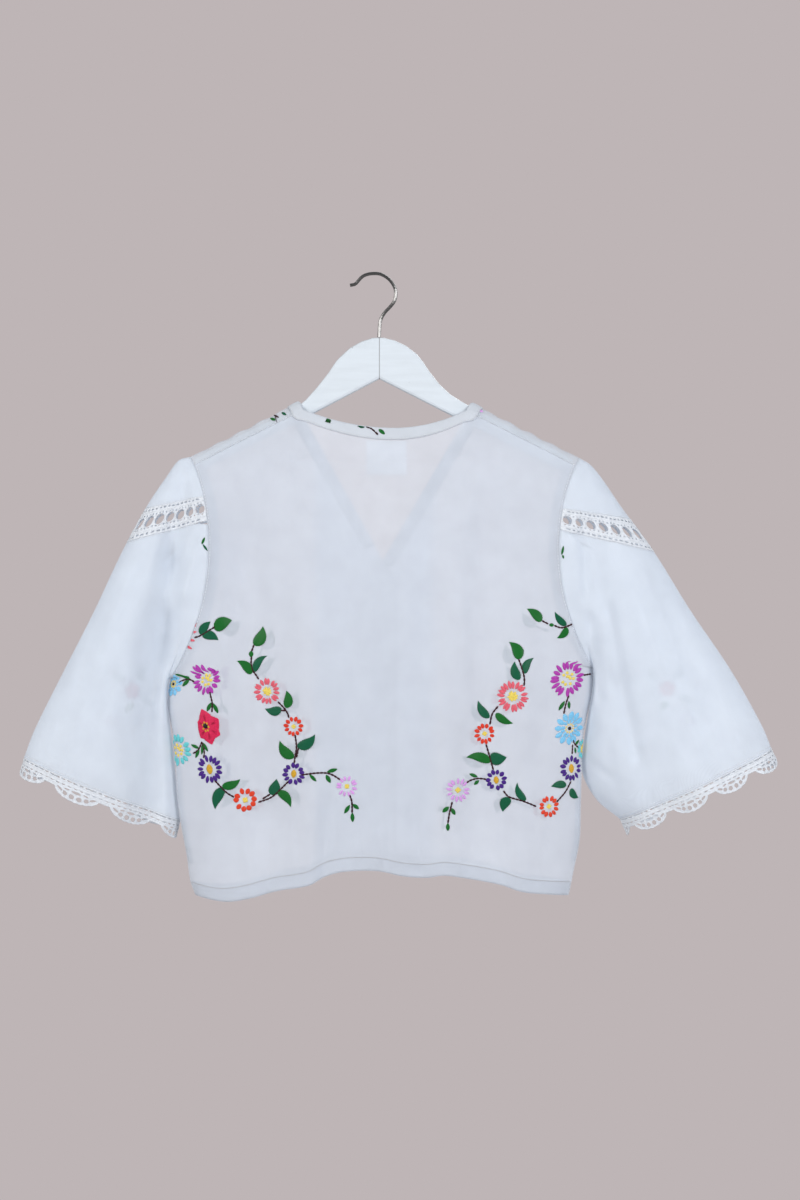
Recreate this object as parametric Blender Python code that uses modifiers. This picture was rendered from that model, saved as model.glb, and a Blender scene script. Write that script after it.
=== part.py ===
# Cropped cotton blouse with crochet lace sleeves, hanging on a painted wooden hanger.
#
# The garment is seen from its back, which faces -Y. +X is the wearer's right and +Z is up.
# The origin is the inside of the hook's crown, where a rail carries it.
# Every size below is in millimetres. Meshes are made in metres.
#
# Each cloth piece is a thin wall: an open surface through the sections of its table, given
# its thickness by Solidify. Rows run down the garment and columns run across it.

import math

import bmesh
import bpy
import numpy as np
from mathutils import Vector

MM = 0.001

# Cloth
WALL = 1.2  # cloth, modelled thicker than the woven cotton so that it is a solid wall
SEAM_GAP = 0.3
BINDING_LIFT = 1.9  # the neck binding lies on the panels, one wall and a gap further out

# Hanger
BAR_HALF_THICK = 5.5
BAR_DEPTH = 19.0  # across an arm, from its top edge to its lower edge
BAR_EDGE_ROUND = 3.0
HOOK_WIRE_RADIUS = 1.75

# The shoulder line is the top of the cloth where it lies over the hanger's arms
SHOULDER_DROP = 8.9  # from the shoulder line down to the shoulder seam, on the back
SEAM_ANGLE = math.pi / 8  # where the shoulder seam meets the armhole ring
ARMHOLE_STEPS = 16  # columns in half a sleeve, which are rows in the torso

# One row for each side of the wearer, in the order of the table's columns
ARMHOLE_COLUMNS = ("tip_x", "tip_z", "under_x", "under_z", "bow", "depth")
ARMHOLE = {
    "left": (-198.0, -191.0, -218.0, -423.0, 30.0, 26.0),
    "right": (210.0, -192.0, 224.0, -412.0, -29.0, 26.0),
}
# The neck ends of the two shoulder seams, and the lowest point of the back neckline: x, z
NECK_SEAM = {"left": (-80.0, -142.3), "right": (92.0, -143.2)}
NECK_TOP_SHIFT = {"left": -5.0, "right": 6.0}
BACK_NECK_LOW = (16.0, -162.0)

# Side seams: height and how far each edge stands from the middle plane
SIDE_EDGE = {
    "left": ((-423, -218.0), (-437, -220.5), (-452, -221.5), (-481, -216.5), (-514, -213.5),
             (-548, -211.5), (-578, -207.5), (-610, -201.5), (-635, -198.0), (-652, -192.0)),
    "right": ((-412, 224.0), (-426, 224.5), (-445, 222.0), (-470, 216.5), (-490, 213.5),
              (-520, 212.5), (-560, 211.5), (-592, 210.5), (-630, 203.0), (-651, 199.0)),
}
# The hem's height along its width, as it hangs
HEM = ((-205, -645.0), (-188, -651.0), (-159, -655.5), (-136, -652.0), (-104, -643.0),
       (-72, -637.0), (-55, -628.0), (-36, -623.0), (0, -622.0), (25, -627.0), (50, -629.0),
       (68, -626.5), (97, -631.0), (126, -637.0), (149, -644.5), (175, -648.0), (205, -651.0))
# How far the middle of each panel stands from the garment's middle plane, by height
BACK_DEPTH = ((-140, 10.0), (-160, 11.5), (-200, 17.0), (-300, 30.0), (-423, 38.0),
              (-520, 38.0), (-600, 35.0), (-660, 33.0))
FRONT_DEPTH = ((-140, 10.0), (-160, 12.0), (-200, 19.0), (-300, 33.0), (-423, 42.0),
               (-520, 41.0), (-600, 37.0), (-660, 34.0))
PROFILE_POWER = 2.4
SIDE_ROUND = 0.55  # a power under 1 rounds the panel into its side seam

# Centre front
FRONT_CENTRE = 4.0
BAND_HALF = 12.0
FRONT_LAP = 0.85  # half of the step between the two fronts where they lap
V_POINT_Z = -300.0
NECK_EDGE_Z = -143.0
BUTTON_Z = (-330.0, -398.0, -466.0, -534.0, -602.0)

# Soft folds. Each row is a straight trough from one point to another in the plane that the
# camera faces. A positive depth presses the cloth in, and a negative one is a ridge.
FOLD_COLUMNS = ("x_top", "z_top", "x_low", "z_low", "half_width", "depth")
BACK_FOLDS = (
    (-140, -285, -120, -560, 26, 6.5),
    (-168, -330, -176, -610, 13, -3.0),
    (-82, -300, -66, -640, 15, -3.5),
    (-52, -560, -60, -650, 10, 4.5),
    (-28, -330, -34, -640, 14, 2.5),
    (30, -260, 22, -640, 16, -2.5),
    (112, -280, 104, -575, 24, 6.0),
    (62, -420, 74, -650, 15, -3.0),
    (150, -420, 150, -650, 17, -4.0),
    (186, -440, 120, -600, 12, 2.5),
    (-200, -215, -216, -300, 12, 7.5),
    (-216, -300, -232, -395, 15, 9.0),
    (-234, -390, -246, -565, 20, 8.0),
    (-262, -300, -315, -520, 22, -4.0),
    (-290, -380, -345, -505, 14, 2.5),
    (222, -268, 240, -420, 12, 5.0),
    (240, -420, 292, -555, 15, 4.0),
    (262, -300, 330, -535, 20, -4.0),
    (300, -360, 372, -510, 15, 3.0),
)
FRONT_FOLDS = (
    (-120, -250, -130, -640, 22, 6.0),
    (-160, -440, -168, -650, 15, -4.0),
    (-70, -330, -62, -640, 17, -4.0),
    (-36, -420, -34, -650, 11, 3.0),
    (62, -360, 58, -650, 16, -4.0),
    (118, -250, 126, -620, 22, 6.0),
    (166, -420, 160, -650, 15, -3.5),
    (-214, -250, -232, -400, 14, 6.0),
    (-236, -400, -262, -560, 18, 5.0),
    (-270, -310, -320, -520, 20, -4.5),
    (226, -260, 246, -420, 14, 6.0),
    (248, -420, 300, -560, 18, 5.0),
    (280, -310, 345, -530, 20, -4.5),
)
# Gathers of the fronts where they run over the shoulders to the seam
SHOULDER_GATHERS = 5
GATHER_HEIGHT = 1.5

# Sleeves: sections from the armhole to the cuff. outer is the sleeve's top line and under
# its underarm seam; the ring between them is an ellipse as deep as the two depths say.
SLEEVE_COLUMNS = ("share", "outer_x", "outer_z", "outer_y", "under_x", "under_z", "under_y",
                  "back_depth", "front_depth", "bow")
SLEEVE = {
    "left": (
        (0.000, -198.4, -191.0, 0, -219.4, -422.3, 0, 26, 26, 29.6),
        (0.034, -210.0, -194.5, 0, -223.5, -424.5, 1, 27, 27, 28.0),
        (0.088, -222.0, -210.5, 0, -225.5, -431.0, 3, 29, 29, 23.0),
        (0.194, -243.0, -242.0, -1, -225.5, -447.0, 7, 32, 33, 14.0),
        (0.343, -269.3, -291.0, -3, -222.0, -470.0, 10, 37, 39, 8.0),
        (0.533, -298.3, -353.0, -4, -217.8, -498.0, 13, 41, 44, 4.0),
        (0.728, -329.7, -415.0, -4, -214.8, -529.0, 14, 44, 47, 2.0),
        (0.920, -361.0, -478.0, -4, -211.5, -560.0, 14, 46, 49, 1.0),
        (1.000, -371.5, -506.0, -4, -210.0, -573.0, 14, 46, 50, 0.5),
    ),
    "right": (
        (0.000, 210.4, -192.0, 0, 225.4, -411.3, 0, 26, 26, -28.6),
        (0.030, 221.5, -199.0, 0, 227.5, -413.5, 1, 27, 27, -26.0),
        (0.088, 235.0, -215.5, 0, 228.5, -421.0, 2, 29, 29, -19.0),
        (0.180, 253.0, -242.0, 0, 227.5, -438.0, 4, 33, 33, -11.0),
        (0.343, 288.0, -290.0, 0, 220.5, -465.0, 9, 38, 39, -6.0),
        (0.540, 326.5, -352.0, 0, 216.0, -493.0, 12, 42, 44, -3.0),
        (0.750, 369.0, -415.0, 0, 214.5, -523.0, 13, 45, 48, -1.0),
        (0.920, 401.0, -472.0, 0, 231.0, -553.0, 12, 46, 50, 0.0),
        (1.000, 411.5, -497.0, 0, 254.0, -571.5, 11, 46, 50, 0.0),
    ),
}
# Lace insertion: the two lines of its edges as seen from the back, each from the armhole
# to the sleeve's outer line, x then z
INSERT_EDGES = {
    "left": (((-183.0, -233.0), (-246.0, -246.5)), ((-178.5, -258.0), (-262.5, -279.5))),
    "right": (((188.0, -246.0), (262.0, -257.0)), ((195.0, -269.0), (289.0, -290.0))),
}
INSERT_CELLS = 15
DIAMOND_HALF_ALONG = 0.40  # of a cell
DIAMOND_HALF_ACROSS = 0.19  # of the band's width
# Scalloped edging of the cuffs. It hangs from the cuff in the direction of HANG, x then z.
# FIRST_VALLEY is where its first valley lies, in scallops from the sleeve's top line.
SCALLOPS = {"left": 7, "right": 8}
FIRST_VALLEY = {"left": 0.70, "right": 0.66}
HANG = {"left": (-0.25, -0.968), "right": (0.42, -0.908)}
EDGING_DROP = 19.5
SCALLOP_VALLEY = 0.52  # the share of the drop that is left between two scallops
EDGING_ROWS = (0.0, 0.53, 0.88, 1.0)  # shares of the drop. The gaps lie in the middle row
GAP_EDGES = (0.12, 0.24, 0.29, 0.41, 0.44, 0.56, 0.59, 0.71, 0.76, 0.88)  # of a scallop, in pairs

BINDING_WIDTH = 12.0
LEFT_BINDING_END_Z = -284.0
RIGHT_BINDING_END_Z = -304.0

LABEL_CENTRE = (8.0, -192.5)
LABEL_SIZE = (42.0, 36.0)
LABEL_WALL = 1.0

BUTTON_DIAMETER = 12.0
BUTTON_THICK = 2.5
BUTTON_ROUND = 0.7
BUTTON_SIDES = 18

# The bar's top and lower edges, from the wearer's left to the right
BAR_TOP = ((-193, -193.0), (-188, -189.8), (-150, -170.4), (-110, -150.6), (-92, -142.0),
           (-84, -138.4), (-77, -131.4), (-68, -121.2), (-57.8, -110.0), (-51.5, -100.4), (-44.6, -90.3),
           (-37.8, -83.4), (-28.7, -75.4), (-19.5, -70.4), (-9, -66.6), (0, -65.8), (10, -66.8),
           (26, -73.0), (38.5, -82.0), (46, -91.0), (53, -101.5), (60, -111.0), (68, -119.4),
           (77, -127.0), (94, -137.0), (116, -148.4), (158, -169.8), (198, -190.4), (203, -194.0))
BAR_LOW = ((-193, -202.0), (-188, -206.0), (-69, -145.4), (0.3, -109.0), (79.5, -149.2),
           (198, -209.0), (203, -205.0))
BAR_STATIONS = 34

# The hook's wire, from its free end over the crown and down to the bar
HOOK_PATH = ((-30.5, -10.6), (-25.0, -9.4), (-21.2, -5.2), (-16.8, -1.0), (-11.2, 1.1),
             (-4.7, 1.75), (2.4, 0.8), (10.5, -4.2), (16.2, -12.2), (17.6, -19.6),
             (16.2, -27.0), (11.6, -33.3), (5.8, -39.5), (1.6, -47.0), (0.5, -56.0), (0.0, -65.2))
CROWN_X = -4.7  # the crown is the origin, and the tables above count x from the shank


def interpolate(table, at):
    """A smooth value between the rows of a table of (position, value...), sorted either way."""
    rows = sorted(table)
    place = [row[0] for row in rows]
    at = min(max(at, place[0]), place[-1])
    i = min(max(sum(p <= at for p in place) - 1, 0), len(rows) - 2)
    span = place[i + 1] - place[i]
    f = (at - place[i]) / span
    values = []
    for column in range(1, len(rows[0])):
        a, b = rows[i][column], rows[i + 1][column]
        before = rows[max(i - 1, 0)]
        after = rows[min(i + 2, len(rows) - 1)]
        slope_a = (b - before[column]) / (place[i + 1] - before[0]) * span
        slope_b = (after[column] - a) / (after[0] - place[i]) * span
        f2, f3 = f * f, f * f * f
        values.append((2 * f3 - 3 * f2 + 1) * a + (f3 - 2 * f2 + f) * slope_a
                      + (3 * f2 - 2 * f3) * b + (f3 - f2) * slope_b)
    return values[0] if len(values) == 1 else values


def mix(a, b, f):
    return a + (b - a) * f


def ease(f):
    f = min(max(f, 0.0), 1.0)
    return f * f * (3 - 2 * f)


def fold_offset(folds, x, z):
    """How far the folds press the cloth in at a point of the view."""
    total = 0.0
    for x0, z0, x1, z1, half_width, depth in folds:
        dx, dz = x1 - x0, z1 - z0
        length = math.hypot(dx, dz)
        along = ((x - x0) * dx + (z - z0) * dz) / length
        across = ((x - x0) * dz - (z - z0) * dx) / length
        past = max(-along, along - length, 0.0)
        total += depth * math.exp(-(across / half_width) ** 2 - (past / (1.6 * half_width)) ** 2)
    return total


def armhole_point(side, angle, back):
    """A point of the armhole seam; angle runs from 0 at the shoulder to pi at the underarm."""
    tip_x, tip_z, under_x, under_z, bow, depth = ARMHOLE[side]
    down = (1 - math.cos(angle)) / 2
    rise = abs(math.sin(angle))
    x = mix(tip_x, under_x, down) + bow * rise ** 1.8
    z = mix(tip_z, under_z, down)
    return x, (-depth if back else depth) * rise, z


def side_seam_start(side):
    """Height of the shoulder seam's end on the armhole."""
    return armhole_point(side, SEAM_ANGLE, True)[2]


def side_point(side, share):
    """The edge of a panel at a share of the way from the shoulder seam to the hem: x, depth, z."""
    _, tip_z, _, under_z, _, _ = ARMHOLE[side]
    top = side_seam_start(side)
    edge_x = SIDE_EDGE[side][-1][1]
    z = mix(top, interpolate(HEM, edge_x), share)
    if z > under_z:
        angle = math.acos(1 - 2 * (tip_z - z) / (tip_z - under_z))
        x, depth, z = armhole_point(side, angle, False)
        return x, depth, z
    return interpolate(SIDE_EDGE[side], z), 0.0, z


def share_at(side, z):
    """The share down a panel's edge at a height."""
    top = side_seam_start(side)
    low = interpolate(HEM, SIDE_EDGE[side][-1][1])
    return (z - top) / (low - top)


def panel_shares():
    """Shares down the panels: one for each step of the armhole, then even steps to the hem."""
    _, tip_z, _, under_z, _, _ = ARMHOLE["left"]
    first = round(SEAM_ANGLE / math.pi * ARMHOLE_STEPS)
    shares = [share_at("left", armhole_point("left", math.pi * k / ARMHOLE_STEPS, True)[2])
              for k in range(first, ARMHOLE_STEPS + 1)]
    lower_rows = 9
    last = shares[-1]
    shares += [mix(last, 1.0, k / lower_rows) for k in range(1, lower_rows + 1)]
    shares[0] = 0.0
    return shares


def edge_of(side, share, index):
    """The panel's edge for a row. Rows of the armhole follow its steps on both sides."""
    first = round(SEAM_ANGLE / math.pi * ARMHOLE_STEPS)
    armhole_rows = ARMHOLE_STEPS - first
    if index is not None and index <= armhole_rows:
        x, depth, z = armhole_point(side, math.pi * (first + index) / ARMHOLE_STEPS, False)
        return x, depth, z
    if index is not None:
        start = share_at(side, ARMHOLE[side][3])
        left_start = share_at("left", ARMHOLE["left"][3])
        share = mix(start, 1.0, (share - left_start) / (1 - left_start))
    return side_point(side, share)


def shoulder_z(side, x):
    """The shoulder seam's height along the shoulder."""
    tip_x, _, tip_z = armhole_point(side, SEAM_ANGLE, True)
    neck_x, neck_z = NECK_SEAM[side]
    f = (x - tip_x) / (neck_x - tip_x)
    return mix(tip_z, neck_z, f)


def neckline_z(x):
    """The back neckline, a parabola on each side of its lowest point."""
    low_x, low_z = BACK_NECK_LOW
    end_x, end_z = NECK_SEAM["left" if x < low_x else "right"]
    return mix(low_z, end_z, ((x - low_x) / (end_x - low_x)) ** 2)


def back_top_z(x):
    if x < NECK_SEAM["left"][0]:
        return shoulder_z("left", x)
    if x > NECK_SEAM["right"][0]:
        return shoulder_z("right", x)
    return neckline_z(x)


def panel_y(across, edge_depth, mid_depth, share):
    """The lens of a panel's section: across is 0 in the middle and 1 at the edge. The armhole's
    depth is felt all the way across at the shoulder, and only beside the seam lower down."""
    across = min(abs(across), 1.0)
    power = mix(1.0, SIDE_ROUND, ease(share / 0.5))
    fullness = (1 - across ** PROFILE_POWER) ** power
    edge_pull = mix(1 - fullness, across ** 9, ease(share / 0.3))
    return max(mid_depth, edge_depth * (1 - ease(share / 0.3))) * fullness + edge_depth * edge_pull


def seam_shift(across, share):
    """Half of the room that the panels leave at the side seams, where their ends lean together."""
    return SEAM_GAP / 2 + 0.4 * ease((share - 0.42) / 0.06) * min(abs(across), 1.0) ** 8


def edge_fade(across):
    """Folds die out towards a seam at the panel's edge."""
    return 1 - abs(across) ** 6


def back_point(across, share, index=None):
    """A point of the back panel: across from -1 to 1, share from the top edge to the hem."""
    left, right = edge_of("left", share, index), edge_of("right", share, index)
    f = (across + 1) / 2
    top_left, _, _ = armhole_point("left", SEAM_ANGLE, True)
    top_right, _, _ = armhole_point("right", SEAM_ANGLE, True)
    hem_left, hem_right = SIDE_EDGE["left"][-1][1], SIDE_EDGE["right"][-1][1]
    x = mix(left[0], right[0], f)
    top_z = back_top_z(mix(top_left, top_right, f))
    down = mix(left[2] - armhole_point("left", SEAM_ANGLE, True)[2],
               right[2] - armhole_point("right", SEAM_ANGLE, True)[2], f)
    full = mix(interpolate(HEM, hem_left) - armhole_point("left", SEAM_ANGLE, True)[2],
               interpolate(HEM, hem_right) - armhole_point("right", SEAM_ANGLE, True)[2], f)
    z = mix(top_z, interpolate(HEM, mix(hem_left, hem_right, f)), down / full)
    depth = panel_y(across, mix(left[1], right[1], f), interpolate(BACK_DEPTH, z), share)
    fold = fold_offset(BACK_FOLDS, x, z) * edge_fade(across)
    return x, -depth + fold - seam_shift(across, share), z


def neck_edge_x(side, z):
    """The front's inner edge: down the V of the neck, then down the button band."""
    sign = -1 if side == "left" else 1
    neck_x = NECK_SEAM[side][0] + NECK_TOP_SHIFT[side] * 0.6
    run = (FRONT_CENTRE - neck_x) / (V_POINT_Z - NECK_EDGE_Z)
    x = neck_x + run * (z - NECK_EDGE_Z)
    limit = FRONT_CENTRE - sign * BAND_HALF
    return min(x, limit) if side == "left" else max(x, limit)


def front_point(side, inward, share, index=None):
    """A point of a front below the shoulder: inward is 0 at the side and 1 at its inner edge."""
    edge_x, edge_depth, edge_z = edge_of(side, share, index)
    tip_x, _, tip_z = armhole_point(side, SEAM_ANGLE, True)
    hem_x = SIDE_EDGE[side][-1][1]
    down = (edge_z - tip_z) / (interpolate(HEM, hem_x) - tip_z)
    neck_x = NECK_SEAM[side][0]
    low_x = neck_edge_x(side, -650)
    top_z = shoulder_z(side, mix(tip_x, neck_x, inward))
    z = mix(top_z, interpolate(HEM, mix(hem_x, low_x, inward)), down)
    x = mix(edge_x, neck_edge_x(side, z), inward)
    reach = abs(x - FRONT_CENTRE) / abs(edge_x - FRONT_CENTRE)
    depth = panel_y(min(reach, 1.0), edge_depth, interpolate(FRONT_DEPTH, z), share)
    fold = fold_offset(FRONT_FOLDS, x, z) * edge_fade(min(reach, 1.0))
    lap_sign = 1 if side == "right" else -1
    near = ease((45 - abs(x - FRONT_CENTRE)) / 28) * ease(down * 6)
    gather = shoulder_gather(inward) * (1 - ease(down * 9))
    return x, depth - fold + lap_sign * FRONT_LAP * near + gather + seam_shift(reach, share), z


def shoulder_gather(inward):
    """The ripple of the gathers along the shoulder, which dies out at both ends."""
    return GATHER_HEIGHT * math.sin(2 * math.pi * SHOULDER_GATHERS * inward) * math.sin(math.pi * inward)


def over_shoulder_point(side, inward, angle):
    """A point of a front where it lies over the hanger; angle is negative on the back."""
    tip_x, tip_y, tip_z = armhole_point(side, abs(angle), True)
    full_x, full_y, full_z = armhole_point(side, SEAM_ANGLE, True)
    top_share = 1 - abs(angle) / SEAM_ANGLE
    neck_x = NECK_SEAM[side][0] + NECK_TOP_SHIFT[side] * (top_share if angle < 0 else 1 - 0.4 * (1 - top_share))
    drop = tip_z - full_z
    x = mix(tip_x, neck_x, inward)
    z = shoulder_z(side, mix(full_x, NECK_SEAM[side][0], inward)) + drop
    z += (shoulder_gather(inward) - 0.9 * math.sin(math.pi * inward)) * top_share * 0.6
    y = tip_y if angle < 0 else -tip_y
    if angle >= SEAM_ANGLE:
        y += SEAM_GAP / 2
    return x, y, z


def smooth_sleeve_point(side, angle, share):
    """A point of a sleeve: angle is 0 on its top line, pi at the underarm seam, and runs
    over the back from 0 to pi and over the front from 0 to -pi."""
    ox, oz, oy, ux, uz, uy, back_depth, front_depth, bow = interpolate(SLEEVE[side], share)
    up = (1 + math.cos(angle)) / 2
    swell = abs(math.sin(angle))
    x = mix(ux, ox, up) + bow * swell ** 1.8
    z = mix(uz, oz, up)
    y = mix(uy, oy, up)
    fade = swell * ease(share / 0.06)
    if angle >= 0:
        return Vector((x, y - back_depth * swell + fold_offset(BACK_FOLDS, x, z) * fade, z))
    return Vector((x, y + front_depth * swell - fold_offset(FRONT_FOLDS, x, z) * fade, z))


def sleeve_point(side, angle, share):
    """As above, with the seam line straight between the steps of the armhole, as its panels have it."""
    point = smooth_sleeve_point(side, angle, share)
    near = 1 - ease(share / 0.12)
    if near <= 0:
        return point
    step = math.pi / ARMHOLE_STEPS
    low = math.floor(angle / step + 1e-6) * step
    f = (angle - low) / step
    if f < 1e-4:
        return point
    ends = smooth_sleeve_point(side, low, 0.0), smooth_sleeve_point(side, low + step, 0.0)
    return point + (ends[0].lerp(ends[1], f) - smooth_sleeve_point(side, angle, 0.0)) * near


def insert_share(side, angle, edge):
    """How far down the sleeve an edge of the lace insertion lies at an angle round it."""
    (ax, az), (bx, bz) = INSERT_EDGES[side][edge]
    low, high = 0.0, 0.6
    for _ in range(22):
        middle = (low + high) / 2
        point = smooth_sleeve_point(side, abs(angle), middle)
        cross = (point.z - az) * (bx - ax) - (point.x - ax) * (bz - az)
        if (cross > 0) == (side == "right"):
            low = middle
        else:
            high = middle
    return (low + high) / 2


def insert_end_angle(side, edge):
    """The angle at which an edge of the insertion meets the armhole."""
    low, high = 0.0, math.pi * 0.8
    for _ in range(22):
        middle = (low + high) / 2
        if insert_share(side, middle, edge) > 0.001:
            low = middle
        else:
            high = middle
    return (low + high) / 2


def insert_edge_line(side, edge):
    """(angle, share) along an edge of the insertion, evenly spaced on the cloth."""
    end = insert_end_angle(side, edge)
    samples = 120
    angles = [mix(-end, end, k / samples) for k in range(samples + 1)]
    shares = [max(insert_share(side, a, edge), 0.0) for a in angles]
    shares[0] = shares[-1] = 0.0
    points = [smooth_sleeve_point(side, a, f) for a, f in zip(angles, shares)]
    run = [0.0]
    for a, b in zip(points, points[1:]):
        run.append(run[-1] + (b - a).length)
    stops = 2 * INSERT_CELLS
    line = []
    for k in range(stops + 1):
        at = run[-1] * k / stops
        line.append((float(np.interp(at, run, angles)), float(np.interp(at, run, shares))))
    return line


def moved_line(side, line, other, distance):
    """A line of (angle, share) moved over the cloth towards another line, square to itself."""
    moved = []
    for k, (angle, share) in enumerate(line):
        before, after = line[max(k - 1, 0)], line[min(k + 1, len(line) - 1)]
        here = smooth_sleeve_point(side, angle, share)
        tangent = smooth_sleeve_point(side, *after) - smooth_sleeve_point(side, *before)
        by_angle = (smooth_sleeve_point(side, angle + 0.01, share) - here) / 0.01
        by_share = (smooth_sleeve_point(side, angle, share + 0.005) - here) / 0.005
        square = by_angle.cross(by_share).cross(tangent).normalized()
        if square.dot(smooth_sleeve_point(side, *other[k]) - here) < 0:
            square = -square
        basis = np.array([by_angle, by_share]).T
        step, _, _, _ = np.linalg.lstsq(basis, np.array(square) * distance, rcond=None)
        moved.append((angle + float(step[0]), max(share + float(step[1]), 0.0)))
    moved[0] = (moved[0][0], 0.0)
    moved[-1] = (moved[-1][0], 0.0)
    return moved


parts = bpy.data.collections.new("cropped_blouse")


def clear_scene():
    for obj in list(bpy.data.objects):
        bpy.data.objects.remove(obj)
    bpy.context.scene.collection.children.link(parts)


def material(name, colour, roughness, metallic=0.0):
    made = bpy.data.materials.new(name)
    made.use_nodes = True
    shader = made.node_tree.nodes["Principled BSDF"]
    shader.inputs["Base Color"].default_value = (*colour, 1)
    shader.inputs["Roughness"].default_value = roughness
    shader.inputs["Metallic"].default_value = metallic
    return made


def object_from(name, points, faces, finish):
    """A mesh object from points in the tables' millimetres, joined to the blouse's collection."""
    mesh = bpy.data.meshes.new(name)
    mesh.from_pydata([[(x - CROWN_X) * MM, y * MM, z * MM] for x, y, z in points], [], faces)
    mesh.update()
    made = bpy.data.objects.new(name, mesh)
    made.data.materials.append(finish)
    parts.objects.link(made)
    mesh.shade_smooth()
    return made


def thicken(piece, outward, wall=WALL):
    """Gives an open surface its cloth wall. outward(centre) is where its faces should turn."""
    mesh = bmesh.new()
    mesh.from_mesh(piece.data)
    loose = [vert for vert in mesh.verts if not vert.link_faces]
    bmesh.ops.delete(mesh, geom=loose, context="VERTS")
    facing = sum(face.normal.dot(outward(face.calc_center_median())) * face.calc_area()
                 for face in mesh.faces)
    if facing < 0:
        bmesh.ops.reverse_faces(mesh, faces=mesh.faces)
    mesh.to_mesh(piece.data)
    mesh.free()
    solid = piece.modifiers.new("cloth wall", "SOLIDIFY")
    solid.thickness = wall * MM
    solid.offset = 0
    return piece


def to_back(centre):
    return Vector((0, -1, 0))


def to_front(centre):
    return Vector((0, 1, 0))


def out_of_sleeve(centre):
    """Faces of a sleeve turn out: to the back behind its middle plane, to the front before it."""
    return Vector((0, 1 if centre.y > 0.005 else -1, 0))


def grid_faces(rows, columns, closed=False, skip=()):
    """Quads of a grid of points in row order. closed joins the last column to the first."""
    last = columns if closed else columns - 1
    return [(r * columns + c, r * columns + (c + 1) % columns,
             (r + 1) * columns + (c + 1) % columns, (r + 1) * columns + c)
            for r in range(rows - 1) for c in range(last) if (r, c) not in skip]


def cloth_grid(name, grid, finish, outward, closed=False, skip=(), wall=WALL):
    points = [p for row in grid for p in row]
    piece = object_from(name, points, grid_faces(len(grid), len(grid[0]), closed, skip), finish)
    return thicken(piece, outward, wall)


def back_columns():
    """Across values of the back panel, close together at the sides and exact at the neck."""
    top_left, _, _ = armhole_point("left", SEAM_ANGLE, True)
    top_right, _, _ = armhole_point("right", SEAM_ANGLE, True)
    neck_left, neck_right = (2 * (NECK_SEAM[s][0] - top_left) / (top_right - top_left) - 1
                             for s in ("left", "right"))
    edge = [1.0, 0.985, 0.95, 0.89, 0.81, 0.72, 0.63, 0.54]
    middle_cells = 8
    inner = [mix(neck_left, neck_right, k / middle_cells) for k in range(middle_cells + 1)]
    return [-e for e in edge] + inner + edge[::-1]


def make_back_panel(cotton):
    grid = [[back_point(across, share, index) for across in back_columns()]
            for index, share in enumerate(panel_shares())]
    cloth_grid("back_panel", grid, cotton, to_back)


def over_angles():
    """Angles of the rows that carry a front over the hanger, from the back to the front."""
    step = math.pi / ARMHOLE_STEPS
    return [-SEAM_ANGLE, -step, 0.0, step]


FRONT_COLUMNS = (0.0, 0.02, 0.06, 0.13, 0.21, 0.3, 0.39, 0.48, 0.57, 0.66, 0.75, 0.84, 0.92, 1.0)


def front_rows(side):
    rows = [[over_shoulder_point(side, inward, angle) for inward in FRONT_COLUMNS]
            for angle in over_angles()]
    rows[0] = [(x, y, z + SEAM_GAP) for x, y, z in rows[0]]
    rows += [[front_point(side, inward, share, index) for inward in FRONT_COLUMNS]
             for index, share in enumerate(panel_shares())]
    return rows


def make_fronts(cotton):
    for side in ("left", "right"):
        cloth_grid(f"front_{side}", front_rows(side), cotton, to_front)


def make_sleeve(side, cotton, lace):
    """The cap above the insertion, the insertion, and the sleeve below it."""
    upper, lower = insert_edge_line(side, 0), insert_edge_line(side, 1)
    half_gap = SEAM_GAP / 2 + 0.1

    cap_rows = 5
    cap_end = moved_line(side, upper, lower, -half_gap)
    grid = [[sleeve_point(side, angle, share * row / (cap_rows - 1))
             for angle, share in cap_end[1:-1]] for row in range(cap_rows)]
    cloth_grid(f"sleeve_cap_{side}", grid, cotton, out_of_sleeve)

    make_insertion(side, moved_line(side, upper, lower, half_gap),
                   moved_line(side, lower, upper, half_gap), lace)

    step = math.pi / ARMHOLE_STEPS
    tube_start = moved_line(side, lower, upper, -half_gap)
    first_free = math.ceil(tube_start[-1][0] / step + 0.1)
    free = [k * step for k in range(first_free, ARMHOLE_STEPS)]
    tops = [(-angle, 0.0) for angle in reversed(free)] + tube_start
    tops += [(angle, 0.0) for angle in free] + [(math.pi, 0.0)]
    row_shares = (0.0, 0.06, 0.16, 0.3, 0.46, 0.63, 0.81, 1.0)
    grid = [[sleeve_point(side, angle, mix(share, 1.0, down)) for angle, share in tops]
            for down in row_shares]
    cloth_grid(f"sleeve_{side}", grid, cotton, out_of_sleeve, closed=True)


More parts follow.
